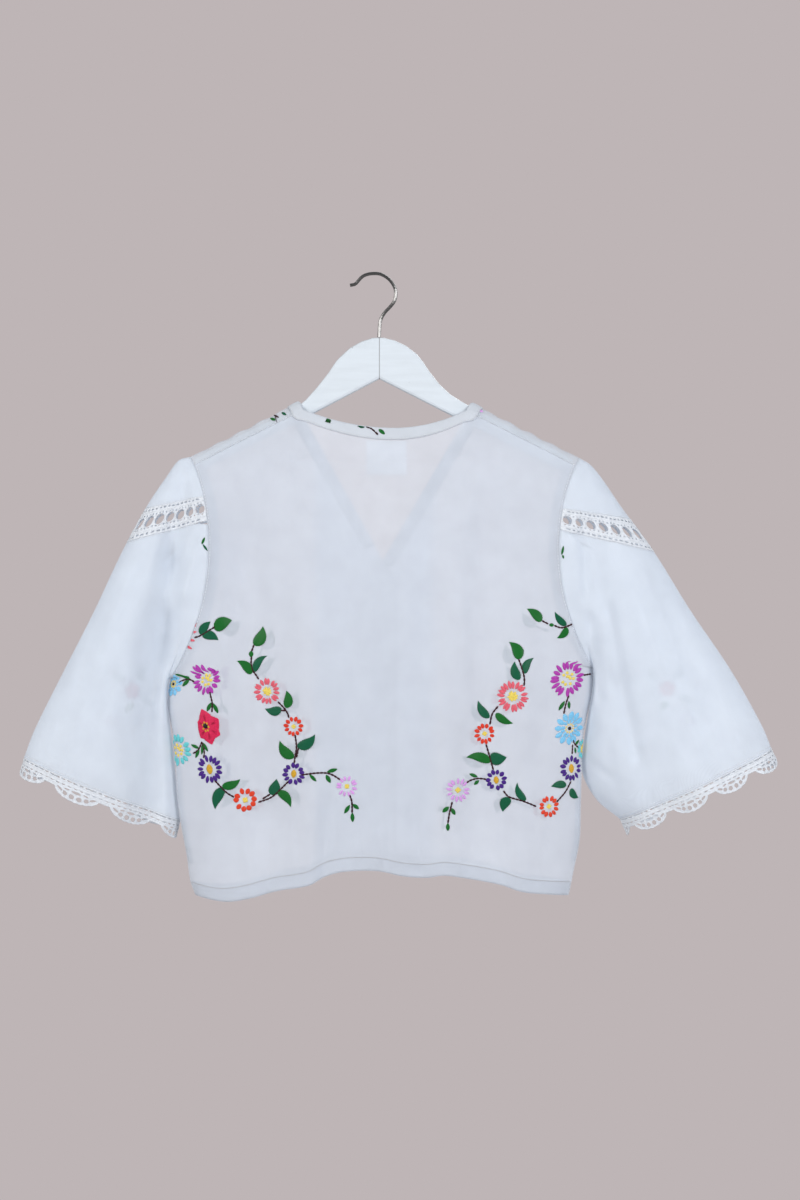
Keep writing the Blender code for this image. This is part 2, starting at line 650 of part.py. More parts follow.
def make_insertion(side, upper, lower, lace):
    """A band with a row of diamond gaps, one in each cell."""

    def at(column, across):
        low = min(int(column), 2 * INSERT_CELLS - 1)
        f = column - low
        a0, s0 = (mix(upper[low][k], upper[low + 1][k], f) for k in (0, 1))
        a1, s1 = (mix(lower[low][k], lower[low + 1][k], f) for k in (0, 1))
        return sleeve_point(side, mix(a0, a1, across), mix(s0, s1, across))

    points, faces = [], []

    def add(column, across):
        points.append(at(column, across))
        return len(points) - 1

    across_low, across_high = 0.5 - DIAMOND_HALF_ACROSS, 0.5 + DIAMOND_HALF_ACROSS
    left = [add(0, v) for v in (0.0, 0.5, 1.0)]
    for cell in range(INSERT_CELLS):
        middle = 2 * cell + 1
        reach = 2 * DIAMOND_HALF_ALONG
        top, low = add(middle, 0.0), add(middle, 1.0)
        west, east = add(middle - reach, 0.5), add(middle + reach, 0.5)
        north, south = add(middle, across_low), add(middle, across_high)
        right = [add(2 * cell + 2, v) for v in (0.0, 0.5, 1.0)]
        faces += [(left[0], top, north, west), (top, right[0], east, north),
                  (left[0], west, left[1]), (right[0], right[1], east),
                  (left[2], low, south, west), (low, right[2], east, south),
                  (left[2], west, left[1]), (right[2], right[1], east)]
        left = right
    band = object_from(f"lace_insert_{side}", points, faces, lace)
    turn_out(band)
    thicken(band, out_of_sleeve)


def edging_point(side, turn, down):
    """A point of a cuff's edging: turn is the angle round the cuff, down a distance."""
    top = smooth_sleeve_point(side, turn, 1.0)
    x, z = HANG[side]
    return top + Vector((x, 0, z)) * down


def cuff_angles(side, count, start, end):
    """Angles evenly spaced along the cuff between two angles."""
    samples = 200
    angles = [mix(start, end, k / samples) for k in range(samples + 1)]
    points = [smooth_sleeve_point(side, a, 1.0) for a in angles]
    run = [0.0]
    for a, b in zip(points, points[1:]):
        run.append(run[-1] + (b - a).length)
    return [float(np.interp(run[-1] * k / count, run, angles)) for k in range(count + 1)], run[-1]


def make_edging(side, lace):
    """The scalloped lace of a cuff, in a back and a front half."""
    count, first = SCALLOPS[side], FIRST_VALLEY[side]
    fine = 240
    halves = {}
    for name, start, end in (("back", 0.0, math.pi), ("front", -math.pi, 0.0)):
        halves[name] = cuff_angles(side, fine, start, end)
    whole = sum(length for _, length in halves.values())
    for name, (angles, length) in halves.items():
        start = 0.0 if name == "back" else -length
        low, high = start / whole * count, (start + length) / whole * count
        trim = (SEAM_GAP / 2 + 0.35) / whole * count
        marks = {low + trim, high - trim}
        for scallop in range(-count, count + 1):
            for edge in (0.0,) + GAP_EDGES:
                place = first + scallop + edge
                if low + 3 * trim < place < high - 3 * trim:
                    marks.add(place)
        places = sorted(marks)
        grid = []
        for row_share in EDGING_ROWS:
            line = []
            for place in places:
                angle = float(np.interp((place - low) / (high - low) * fine, range(fine + 1), angles))
                bulge = abs(math.sin(math.pi * (place - first))) ** 0.7
                drop = EDGING_DROP * mix(SCALLOP_VALLEY, 1.0, bulge)
                line.append(edging_point(side, angle, 0.6 + row_share * (drop - 0.6)))
            grid.append(line)
        gaps = set()
        for column, (a, b) in enumerate(zip(places, places[1:])):
            middle = ((a + b) / 2 - first) % 1.0
            in_gap = any(GAP_EDGES[k] < middle < GAP_EDGES[k + 1] for k in range(0, 10, 2))
            if in_gap and 0 < column < len(places) - 2:
                gaps.add((1, column))
        cloth_grid(f"cuff_lace_{side}_{name}", grid, lace, out_of_sleeve, skip=gaps)


def corner_fan(side):
    """Rungs of the binding that turn round a neck end of a shoulder seam, on the back."""
    sign = -1 if side == "left" else 1
    corner = Vector(back_point(neck_across(side), 0.0))
    rungs = []
    for turn in (34, 50, 66):
        x, z = sign * math.cos(math.radians(turn)), -math.sin(math.radians(turn))
        rung = [corner]
        for width in (0.5 * BINDING_WIDTH, BINDING_WIDTH):
            px, pz = corner.x + x * width, corner.z + z * width
            rung.append(Vector((px, back_surface_y(px, pz), pz)))
        rungs.append(rung)
    return rungs


def neck_across(side):
    top_left, _, _ = armhole_point("left", SEAM_ANGLE, True)
    top_right, _, _ = armhole_point("right", SEAM_ANGLE, True)
    return 2 * (NECK_SEAM[side][0] - top_left) / (top_right - top_left) - 1


def front_rung(side, place):
    """Three points across the binding on a front, at a row that place(inward) gives."""
    unit = (Vector(place(1.0)) - Vector(place(0.9))).length / 0.1
    width = BINDING_WIDTH * 1.12
    return [Vector(place(1.0 - width * part / unit)) for part in (0.0, 0.5, 1.0)]


def binding_leg(side):
    """Rungs from the shoulder down the front's edge of the V."""
    rungs = [front_rung(side, lambda inward, a=angle: over_shoulder_point(side, inward, a))
             for angle in over_angles()[1:]]
    end_z = LEFT_BINDING_END_Z if side == "left" else RIGHT_BINDING_END_Z
    shares = [share for share in panel_shares() if front_point(side, 1.0, share)[2] > end_z]
    for index, share in enumerate(shares):
        rungs.append(front_rung(
            side, lambda inward, f=share, i=index: front_point(side, inward, f, i)))
    return rungs


def neck_rungs():
    """Rungs across the binding from the left front's end, round the back, to the right's."""
    rungs = binding_leg("left")[::-1] + corner_fan("left")
    left, right = neck_across("left"), neck_across("right")
    cells = 10
    for k in range(cells + 1):
        across = mix(left, right, k / cells)
        edge = Vector(back_point(across, 0.0))
        low_share = BINDING_WIDTH / (edge.z - back_point(across, 1.0)[2])
        rungs.append([Vector(back_point(across, low_share * part)) for part in (0.0, 0.5, 1.0)])
    return rungs + corner_fan("right")[::-1] + binding_leg("right")


def make_binding(cotton):
    """A flat strip on the outside of the neck edge, made from the panels' own surface."""
    rungs = neck_rungs()
    points = [point for rung in zip(*rungs) for point in rung]
    piece = object_from("neck_binding", points, grid_faces(3, len(rungs)), cotton)
    mesh = bmesh.new()
    mesh.from_mesh(piece.data)
    bmesh.ops.remove_doubles(mesh, verts=mesh.verts, dist=0.05 * MM)
    bmesh.ops.recalc_face_normals(mesh, faces=mesh.faces)
    if sum(face.normal.dot(out_of_neck(face.calc_center_median())) for face in mesh.faces) < 0:
        bmesh.ops.reverse_faces(mesh, faces=mesh.faces)
    mesh.normal_update()
    for vert, normal in [(vert, vert.normal.copy()) for vert in mesh.verts]:
        vert.co += normal * BINDING_LIFT * MM
    mesh.to_mesh(piece.data)
    mesh.free()
    thicken(piece, out_of_neck)


def out_of_neck(centre):
    return Vector((0, 1 if centre.y > 0 else -1, 0.4))


def make_label(tape):
    """A blank label behind the back's cloth, below the middle of the neck."""
    columns, rows = 5, 4
    grid = []
    for row in range(rows):
        line = []
        for column in range(columns):
            x = LABEL_CENTRE[0] + LABEL_SIZE[0] * (column / (columns - 1) - 0.5)
            z = LABEL_CENTRE[1] + LABEL_SIZE[1] * (0.5 - row / (rows - 1))
            line.append((x, back_surface_y(x, z) + WALL / 2 + SEAM_GAP + 0.4 + LABEL_WALL / 2, z))
        grid.append(line)
    cloth_grid("label", grid, tape, to_back, wall=LABEL_WALL)


def back_surface_y(x, z):
    """The back's y at a point of the view, found by walking to it over the panel."""
    top_left, _, _ = armhole_point("left", SEAM_ANGLE, True)
    top_right, _, _ = armhole_point("right", SEAM_ANGLE, True)
    across, share = 2 * (x - top_left) / (top_right - top_left) - 1, 0.05
    for _ in range(16):
        px, py, pz = back_point(across, share)
        across = min(max(across + (x - px) / 205, -1.0), 1.0)
        share = min(max(share + (pz - z) / 480, 0.0), 1.0)
    return back_point(across, share)[1]


def front_surface(side, x, z):
    """A point of a front's surface and its outward normal, at a place of the view."""
    inward, share = 0.8, 0.4
    for _ in range(16):
        px, py, pz = front_point(side, inward, share)
        width = 205
        inward += (x - px) / width * (1 if side == "left" else -1)
        share += (pz - z) / 460
    here = Vector(front_point(side, inward, share))
    beside = Vector(front_point(side, inward - 0.04, share)) - here
    below = Vector(front_point(side, inward, share + 0.02)) - here
    normal = beside.cross(below).normalized()
    return here, normal if normal.y > 0 else -normal


def make_buttons(shell):
    """Flat round buttons down the centre front, each a turned disc."""
    radius, half = BUTTON_DIAMETER / 2, BUTTON_THICK / 2
    profile = ((0.0, half), (radius - BUTTON_ROUND, half), (radius, half - BUTTON_ROUND),
               (radius, BUTTON_ROUND - half), (radius - BUTTON_ROUND, -half), (0.0, -half))
    for number, z in enumerate(BUTTON_Z, start=1):
        place, normal = front_surface("right", FRONT_CENTRE, z)
        centre = place + normal * (WALL / 2 + SEAM_GAP + 0.3 + half)
        side = Vector((1, 0, 0)) - normal * normal.x
        side.normalize()
        other = normal.cross(side)
        points, faces = [], []
        for r, h in profile[1:-1]:
            for k in range(BUTTON_SIDES):
                turn = 2 * math.pi * k / BUTTON_SIDES
                points.append(centre + normal * h + (side * math.cos(turn) + other * math.sin(turn)) * r)
        faces += grid_faces(4, BUTTON_SIDES, closed=True)
        faces.append(tuple(reversed(range(BUTTON_SIDES))))
        faces.append(tuple(range(3 * BUTTON_SIDES, 4 * BUTTON_SIDES)))
        button = object_from(f"button_{number}", points, faces, shell)
        turn_out(button)


def turn_out(piece):
    mesh = bmesh.new()
    mesh.from_mesh(piece.data)
    bmesh.ops.recalc_face_normals(mesh, faces=mesh.faces)
    mesh.to_mesh(piece.data)
    mesh.free()


def make_bar(wood):
    """The wooden bar: sections along its two arms, with rounded edges."""
    ends = BAR_TOP[0][0], BAR_TOP[-1][0]
    stations = sorted({mix(ends[0], ends[1], k / BAR_STATIONS) for k in range(BAR_STATIONS + 1)}
                      | {-188.0, 198.0, 0.3, -51.5, -44.6, 46.0, 53.0})
    r, t = BAR_EDGE_ROUND, BAR_HALF_THICK
    points, sides = [], 0
    for x in stations:
        top, low = interpolate(BAR_TOP, x), float(np.interp(x, *zip(*BAR_LOW)))
        thick = t if ends[0] < x < ends[1] else t - 1.6
        corner = min(r, (top - low) / 2 - 0.5)
        ring = []
        for cy, cz, first in ((thick - r, top - corner, 0), (r - thick, top - corner, 90),
                              (r - thick, low + corner, 180), (thick - r, low + corner, 270)):
            for turn in (0, 45, 90):
                a = math.radians(first + turn)
                ring.append((x, cy + r * math.cos(a), cz + corner * math.sin(a)))
        sides = len(ring)
        points += ring
    faces = grid_faces(len(stations), sides, closed=True)
    faces.append(tuple(range(sides)))
    faces.append(tuple(reversed(range(len(points) - sides, len(points)))))
    turn_out(object_from("hanger_bar", points, faces, wood))


def make_hook(chrome):
    """The hook's bent wire, with round ends."""
    curve = bpy.data.curves.new("hanger_hook", "CURVE")
    curve.dimensions = "3D"
    curve.bevel_depth = HOOK_WIRE_RADIUS * MM
    curve.bevel_resolution = 2
    curve.use_fill_caps = True
    run = [(k, x, z) for k, (x, z) in enumerate(HOOK_PATH)]
    steps = 36
    path = [interpolate(run, (len(run) - 1) * k / steps) for k in range(steps + 1)]
    spline = curve.splines.new("POLY")
    spline.points.add(len(path) - 1)
    for point, (x, z) in zip(spline.points, path):
        point.co = ((x - CROWN_X) * MM, 0, z * MM, 1)
    spline.use_smooth = True
    hook = bpy.data.objects.new("hanger_hook", curve)
    hook.data.materials.append(chrome)
    parts.objects.link(hook)


def build():
    clear_scene()
    cotton = material("white_cotton", (0.86, 0.87, 0.89), 0.85)
    lace = material("white_crochet_lace", (0.84, 0.85, 0.86), 0.9)
    tape = material("white_label_tape", (0.87, 0.88, 0.9), 0.7)
    shell = material("white_button_plastic", (0.8, 0.81, 0.83), 0.3)
    wood = material("white_painted_wood", (0.74, 0.76, 0.78), 0.45)
    chrome = material("hook_chrome", (0.75, 0.75, 0.76), 0.15, metallic=1.0)
    make_back_panel(cotton)
    make_fronts(cotton)
    for side in ("left", "right"):
        make_sleeve(side, cotton, lace)
        make_edging(side, lace)
    make_binding(cotton)
    make_label(tape)
    make_buttons(shell)
    make_bar(wood)
    make_hook(chrome)


build()
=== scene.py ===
# %% [markdown]
# # A cropped cotton blouse on a wooden hanger
#
# A lesson in building clothes with code. The blouse hangs with its back to us. It is
# thin white cotton with wide sleeves, a crochet band let into each sleeve, scalloped
# lace at the cuffs and a garland of stitched flowers above the hem.
#
# Every piece starts from the same short tables that its rough solid was cut from, so
# that each finished piece lies exactly where its solid does. Then it gets what a rough
# solid leaves out: creases, weave, thread and seams.

import math

import bmesh
import bpy
import numpy as np
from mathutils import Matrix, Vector
from mathutils.bvhtree import BVHTree


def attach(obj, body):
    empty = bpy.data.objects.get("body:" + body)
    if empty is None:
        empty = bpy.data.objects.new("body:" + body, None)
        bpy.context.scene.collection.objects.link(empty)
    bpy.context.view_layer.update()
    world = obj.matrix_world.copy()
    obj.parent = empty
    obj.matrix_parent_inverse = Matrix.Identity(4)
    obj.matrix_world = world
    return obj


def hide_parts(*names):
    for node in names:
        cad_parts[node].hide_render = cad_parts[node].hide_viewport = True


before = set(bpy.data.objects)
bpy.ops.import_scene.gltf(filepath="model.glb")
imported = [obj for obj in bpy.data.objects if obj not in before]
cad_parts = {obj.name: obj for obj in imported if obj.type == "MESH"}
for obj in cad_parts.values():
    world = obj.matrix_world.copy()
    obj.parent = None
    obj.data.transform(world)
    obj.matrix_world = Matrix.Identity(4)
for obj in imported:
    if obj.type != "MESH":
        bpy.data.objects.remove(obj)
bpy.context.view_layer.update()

# %% [markdown]
# ## The camera
#
# The photograph was taken square to the blouse at chest height with a short telephoto
# lens, so the two shoulders look the same size. A camera that stands level and looks
# straight ahead gives the same upright side edges.

# %% Camera
view_camera = bpy.data.objects.new("photo_camera", bpy.data.cameras.new("photo_camera"))
view_camera.data.lens = 74.3
view_camera.data.sensor_width = 36
view_camera.location = (0.0267, -2.6, -0.341)
view_camera.rotation_euler = (math.radians(90), 0, 0)
bpy.context.collection.objects.link(view_camera)
bpy.context.scene.camera = view_camera
print("camera stands", round(-view_camera.location.y, 2), "m behind the blouse")

# %% [markdown]
# ## The pattern tables
#
# A dressmaker keeps a pattern as a few measured points and joins them with a curve
# rule. We do the same. Lengths are millimetres, x is counted from the hook's shank and
# z from the rail. The tables say where the armholes, side seams and hem run, how deep
# the body is at each height, and how the sleeve widens.

# %% Body tables
SEAM_ANGLE = math.pi / 8  # where the shoulder seam meets the armhole ring
# One row for each side of the wearer, in the order of the table's columns
ARMHOLE = {
    "left": (-198, -191, -218, -423, 30, 26),
    "right": (210, -192, 224, -412, -29, 26),
}
# The neck ends of the two shoulder seams, and the lowest point of the back neckline: x, z
NECK_SEAM = {"left": (-80, -142.3), "right": (92, -143.2)}
NECK_TOP_SHIFT = {"left": -5, "right": 6.0}
BACK_NECK_LOW = (16, -162)

# Side seams: height and how far each edge stands from the middle plane
SIDE_EDGE = {
    "left": ((-423, -218), (-437, -220.5), (-452, -221.5), (-481, -216.5), (-514, -213.5),
             (-548, -211.5), (-578, -207.5), (-610, -201.5), (-635, -198), (-652, -192)),
    "right": ((-412, 224), (-426, 224.5), (-445, 222), (-470, 216.5), (-490, 213.5),
              (-520, 212.5), (-560, 211.5), (-592, 210.5), (-630, 203), (-651, 199)),
}
# The hem's height along its width, as it hangs
HEM = ((-205, -645), (-188, -651), (-159, -655.5), (-136, -652), (-104, -643),
       (-72, -637), (-55, -628), (-36, -623), (0, -622), (25, -627), (50, -629),
       (68, -626.5), (97, -631), (126, -637), (149, -644.5), (175, -648), (205, -651))
# How far the middle of each panel stands from the garment's middle plane, by height
BACK_DEPTH = ((-140, 10), (-160, 11.5), (-200, 17), (-300, 30), (-423, 38),
              (-520, 38), (-600, 35), (-660, 33))
FRONT_DEPTH = ((-140, 10), (-160, 12), (-200, 19), (-300, 33), (-423, 42),
               (-520, 41), (-600, 37), (-660, 34))
PROFILE_POWER = 2.4  # how flat the middle of a panel's section is
SIDE_ROUND = 0.55  # a power under 1 rounds the panel into its side seam

# Centre front
FRONT_CENTRE = 4
BAND_HALF = 12
FRONT_LAP = 0.85  # half of the step between the two fronts where they lap
V_POINT_Z = -300
NECK_EDGE_Z = -143
BUTTON_Z = (-330, -398, -466, -534, -602)
print("chest:", SIDE_EDGE["right"][0][1] - SIDE_EDGE["left"][0][1], "mm wide")

# %% Soft folds
# Each row is a straight trough from one point to another in the plane that the
# camera faces. A positive depth presses the cloth in, and a negative one is a ridge.
BACK_FOLDS = (
    (-140, -285, -120, -560, 26, 6.5), (-168, -330, -176, -610, 13, -3),
    (-82, -300, -66, -640, 15, -3.5), (-52, -560, -60, -650, 10, 4.5), (-28, -330, -34, -640, 14, 2.5),
    (30, -260, 22, -640, 16, -2.5), (112, -280, 104, -575, 24, 6), (62, -420, 74, -650, 15, -3),
    (150, -420, 150, -650, 17, -4), (186, -440, 120, -600, 12, 2.5),
    (-200, -215, -216, -300, 12, 7.5), (-216, -300, -232, -395, 15, 9),
    (-234, -390, -246, -565, 20, 8), (-262, -300, -315, -520, 22, -4),
    (-290, -380, -345, -505, 14, 2.5), (222, -268, 240, -420, 12, 5), (240, -420, 292, -555, 15, 4),
    (262, -300, 330, -535, 20, -4), (300, -360, 372, -510, 15, 3),
)
FRONT_FOLDS = (
    (-120, -250, -130, -640, 22, 6), (-160, -440, -168, -650, 15, -4),
    (-70, -330, -62, -640, 17, -4), (-36, -420, -34, -650, 11, 3), (62, -360, 58, -650, 16, -4),
    (118, -250, 126, -620, 22, 6), (166, -420, 160, -650, 15, -3.5),
    (-214, -250, -232, -400, 14, 6), (-236, -400, -262, -560, 18, 5),
    (-270, -310, -320, -520, 20, -4.5), (226, -260, 246, -420, 14, 6),
    (248, -420, 300, -560, 18, 5), (280, -310, 345, -530, 20, -4.5),
)
# Gathers of the fronts where they run over the shoulders to the seam
SHOULDER_GATHERS = 5
GATHER_HEIGHT = 1.5

print("soft folds:", len(BACK_FOLDS) + len(FRONT_FOLDS))

# %% Sleeve and trimming tables
# Sleeves: sections from the armhole to the cuff. outer is the sleeve's top line and under
# its underarm seam; the ring between them is an ellipse as deep as the two depths say.
SLEEVE = {
    "left": (
        (0, -198.4, -191, 0, -219.4, -422.3, 0, 26, 26, 29.6),
        (0.034, -210, -194.5, 0, -223.5, -424.5, 1, 27, 27, 28),
        (0.088, -222, -210.5, 0, -225.5, -431, 3, 29, 29, 23),
        (0.194, -243, -242, -1, -225.5, -447, 7, 32, 33, 14),
        (0.343, -269.3, -291, -3, -222, -470, 10, 37, 39, 8),
        (0.533, -298.3, -353, -4, -217.8, -498, 13, 41, 44, 4),
        (0.728, -329.7, -415, -4, -214.8, -529, 14, 44, 47, 2),
        (0.920, -361, -478, -4, -211.5, -560, 14, 46, 49, 1),
        (1, -371.5, -506, -4, -210, -573, 14, 46, 50, 0.5),
    ),
    "right": (
        (0, 210.4, -192, 0, 225.4, -411.3, 0, 26, 26, -28.6),
        (0.030, 221.5, -199, 0, 227.5, -413.5, 1, 27, 27, -26),
        (0.088, 235, -215.5, 0, 228.5, -421, 2, 29, 29, -19),
        (0.180, 253, -242, 0, 227.5, -438, 4, 33, 33, -11),
        (0.343, 288, -290, 0, 220.5, -465, 9, 38, 39, -6),
        (0.540, 326.5, -352, 0, 216, -493, 12, 42, 44, -3),
        (0.750, 369, -415, 0, 214.5, -523, 13, 45, 48, -1),
        (0.920, 401, -472, 0, 231, -553, 12, 46, 50, 0),
        (1, 411.5, -497, 0, 254, -571.5, 11, 46, 50, 0),
    ),
}
# Lace insertion: the two lines of its edges as seen from the back, each from the armhole
# to the sleeve's outer line, x then z
INSERT_EDGES = {
    "left": (((-183, -233), (-246, -246.5)), ((-178.5, -258), (-262.5, -279.5))),
    "right": (((188, -246), (262, -257)), ((195, -269), (289, -290))),
}
INSERT_CELLS = 15
# Scalloped edging of the cuffs. It hangs from the cuff in the direction of HANG, x then z.
# FIRST_VALLEY is where its first valley lies, in scallops from the sleeve's top line.
SCALLOPS = {"left": 7, "right": 9}
FIRST_VALLEY = {"left": 0.85, "right": 0.02}
HANG = {"left": (-0.25, -0.968), "right": (0.42, -0.908)}
EDGING_DROP = 19.5
SCALLOP_VALLEY = 0.52  # the share of the drop that is left between two scallops

BINDING_WIDTH = 12
LEFT_BINDING_END_Z = -284
RIGHT_BINDING_END_Z = -304

LABEL_CENTRE = (8, -192.5)
LABEL_SIZE = (42, 36)
BUTTON_DIAMETER = 12
CROWN_X = -4.7  # the rail stands over the crown of the hook, this far from its shank
print("lace cells:", INSERT_CELLS, "scallops:", SCALLOPS)

# %% [markdown]
# ## Reading the tables
#
# `along` is the curve rule: it joins the rows of a table with a smooth line that passes
# through every row. `fold_offset` lays soft troughs and ridges across the cloth. Each is
# a straight line that fades out softly to both sides and past its two ends.

# %% Curve rule and folds
def mix(a, b, f):
    return a + (b - a) * f


def ease(f):
    f = np.clip(f, 0.0, 1.0)
    return f * f * (3 - 2 * f)


def along(table, at):
    """Smooth values between the rows of a table (position, value, ...) at many positions."""
    rows = np.array(sorted(table), float)
    place = rows[:, 0]
    at = np.clip(np.asarray(at, float), place[0], place[-1])
    i = np.clip(np.searchsorted(place, at, side="right") - 1, 0, len(place) - 2)
    before, after = np.maximum(i - 1, 0), np.minimum(i + 2, len(place) - 1)
    span = place[i + 1] - place[i]
    f = ((at - place[i]) / span)[..., None]
    a, b = rows[i], rows[i + 1]
    slope_a = (b - rows[before]) * (span / (place[i + 1] - place[before]))[..., None]
    slope_b = (rows[after] - a) * (span / (place[after] - place[i]))[..., None]
    f2, f3 = f * f, f * f * f
    value = ((2 * f3 - 3 * f2 + 1) * a + (f3 - 2 * f2 + f) * slope_a
             + (3 * f2 - 2 * f3) * b + (f3 - f2) * slope_b)
    return value[..., 1] if rows.shape[1] == 2 else np.moveaxis(value[..., 1:], -1, 0)


def fold_offset(folds, x, z):
    """How far the folds press the cloth in at points of the view."""
    total = np.zeros(np.broadcast(x, z).shape)
    for x0, z0, x1, z1, half_width, depth in folds:
        dx, dz = x1 - x0, z1 - z0
        length = math.hypot(dx, dz)
        run = ((x - x0) * dx + (z - z0) * dz) / length
        off = ((x - x0) * dz - (z - z0) * dx) / length
        past = np.maximum(np.maximum(-run, run - length), 0.0)
        total = total + depth * np.exp(-(off / half_width) ** 2 - (past / (1.6 * half_width)) ** 2)
    return total


print("hem height at the middle:", round(float(along(HEM, 0.0)), 1))

# %% [markdown]
# ## Creases
#
# Big folds alone look like moulded plastic. Worn cotton also has short shallow creases:
# drag lines that start at an armhole, a few dents above the hem, and soft pulls round
# the shoulders. We place them one by one, uneven in length, depth and spacing, on the
# back as the photograph shows them, and similar ones on the sides it hides.

# %% Creases
BACK_CREASES = (
    (-176, -262, -140, -318, 6, 1.2), (-188, -300, -150, -345, 5, 1),
    (-197, -352, -158, -380, 7, 1.4), (-204, -392, -168, -404, 6, 1.1), (-96, -196, -84, -262, 8, -1.3),
    (-118, -200, -128, -262, 7, 1), (-60, -176, -46, -232, 7, 0.9), (-140, -560, -132, -650, 7, -1.3),
    (-112, -590, -116, -648, 5, 1.4), (-92, -575, -88, -640, 6, -1), (-20, -560, -16, -622, 7, 1.3),
    (2, -585, 6, -626, 5, -1.1), (40, -570, 44, -628, 7, 1.4), (88, -590, 84, -630, 6, -1.2),
    (128, -560, 132, -640, 7, 1.2), (168, -580, 170, -648, 6, -1.1), (186, -270, 150, -322, 6, 1.2),
    (198, -318, 160, -352, 6, 1.1), (206, -360, 166, -384, 7, 1.3), (104, -198, 92, -258, 8, -1.2),
    (130, -204, 142, -270, 7, 1), (70, -180, 58, -228, 6, 0.8), (-30, -210, -8, -330, 11, 0.9),
    (44, -240, 52, -420, 12, 1), (-110, -330, -96, -470, 10, -1.2), (84, -330, 92, -470, 9, -1.1),
    (8, -420, 2, -560, 9, 0.9), (-150, -440, -146, -530, 8, 1.1), (136, -300, 130, -430, 9, 1.2),
    (-138, -290, -118, -560, 24, 3.5), (-158, -250, -140, -300, 14, 2),
    (112, -285, 104, -560, 22, 3.5), (146, -250, 128, -330, 14, 2),
    # left sleeve
    (-217, -262, -219, -318, 10, 6), (-222, -366, -236, -434, 15, 12),
    (-238, -472, -236, -548, 13, 13), (-264, -450, -254, -520, 8, 2.5),
    (-188, -268, -206, -316, 4, 1.6), (-192, -300, -203, -340, 3.5, -1.2),
    (-226, -214, -236, -262, 6, 1.3), (-238, -286, -270, -372, 7, 1.3),
    (-252, -300, -300, -420, 7, -1.2), (-232, -430, -250, -500, 6, 1.5),
    (-276, -420, -300, -500, 9, 1.6), (-318, -420, -340, -490, 8, -1.5),
    (-300, -460, -322, -520, 6, 1.1), (-250, -500, -262, -545, 6, -1.3),
    (-226, -500, -232, -560, 5, 1.2),
    # right sleeve
    (212, -268, 216, -330, 6, 5), (221, -366, 229, -440, 7, 7), (240, -352, 268, -500, 6, 3),
    (216, -506, 238, -524, 5, 3), (214, -520, 234, -544, 4, -2), (236, -214, 246, -262, 6, 1.3),
    (258, -300, 292, -380, 8, 1.3), (274, -310, 320, -420, 7, -1.1), (246, -430, 266, -500, 7, 1.5),
    (298, -430, 322, -500, 9, 1.6), (346, -420, 378, -490, 8, -1.5), (330, -470, 352, -520, 6, 1.2),
    (272, -490, 292, -545, 7, -1.3), (238, -490, 250, -545, 5, 1.2),
)
FRONT_CREASES = (
    (-180, -270, -142, -326, 6, 1.2), (-196, -330, -152, -362, 6, 1.3),
    (-205, -384, -164, -402, 7, 1.2), (-128, -180, -112, -300, 8, -1.2), (-96, -180, -88, -290, 7, 1.1),
    (-146, -570, -140, -650, 7, -1.3), (-106, -580, -110, -645, 6, 1.4),
    (-80, -560, -76, -636, 7, -1.1), (-44, -580, -48, -628, 6, 1.3), (188, -276, 148, -330, 6, 1.2),
    (202, -336, 162, -366, 7, 1.2), (208, -380, 170, -396, 6, 1.1), (120, -184, 108, -300, 8, -1.2),
    (146, -190, 156, -290, 7, 1), (90, -590, 94, -632, 6, -1.2), (42, -570, 44, -628, 6, 1.2),
    (134, -565, 140, -642, 7, 1.3), (-150, -380, -138, -520, 9, 1), (88, -360, 80, -500, 9, 1),
    (-232, -230, -246, -300, 7, 1.3), (-262, -340, -296, -440, 8, 1.3),
    (-296, -400, -330, -500, 8, -1.4), (-240, -450, -258, -530, 7, 1.4),
    (-286, -480, -300, -530, 6, 1.2), (-224, -470, -234, -540, 5, -1.1), (246, -230, 262, -300, 7, 1.3),
    (280, -340, 318, -440, 8, 1.3), (322, -400, 366, -500, 8, -1.4), (256, -450, 280, -530, 7, 1.4),
    (310, -480, 330, -530, 6, 1.2), (236, -470, 250, -540, 5, -1.1),
)
BACK_RELIEF = BACK_FOLDS + BACK_CREASES
FRONT_RELIEF = FRONT_FOLDS + FRONT_CREASES
print("creases:", len(BACK_CREASES) + len(FRONT_CREASES))

# %% [markdown]
# ## The body
#
# The body is a back panel and two fronts. Seen from above, the back and the fronts make
# a lens: deepest in the middle and pinched at the side seams. A point of a panel is
# named by how far across it lies and by `v`, which runs from the shoulder seam (0) past
# the underarm (0.5) to the hem (1).

# %% Body surfaces
def armhole(side, angle):
    """The armhole seam, from the shoulder (0) to the underarm (pi): x, depth, z."""
    tip_x, tip_z, under_x, under_z, bow, depth = ARMHOLE[side]
    down, rise = (1 - np.cos(angle)) / 2, np.abs(np.sin(angle))
    return mix(tip_x, under_x, down) + bow * rise ** 1.8, depth * rise, mix(tip_z, under_z, down)


SEAM_TIP = {side: [float(value) for value in armhole(side, SEAM_ANGLE)] for side in ARMHOLE}
HEM_END = {side: SIDE_EDGE[side][-1][1] for side in SIDE_EDGE}


def panel_edge(side, v):
    """A panel's edge: along the armhole, then down the side seam: x, depth, z."""
    v = np.asarray(v, float)
    x, depth, z = armhole(side, mix(SEAM_ANGLE, math.pi, np.minimum(v / 0.5, 1)))
    low_z = mix(ARMHOLE[side][3], along(HEM, HEM_END[side]), np.clip((v - 0.5) / 0.5, 0, 1))
    below = v > 0.5
    return (np.where(below, along(SIDE_EDGE[side], low_z), x), np.where(below, 0.0, depth),
            np.where(below, low_z, z))


def panel_share(v):
    """The share of the panel's height that lies above v."""
    top, low = SEAM_TIP["left"][2], along(HEM, HEM_END["left"])
    return (panel_edge("left", v)[2] - top) / (low - top)


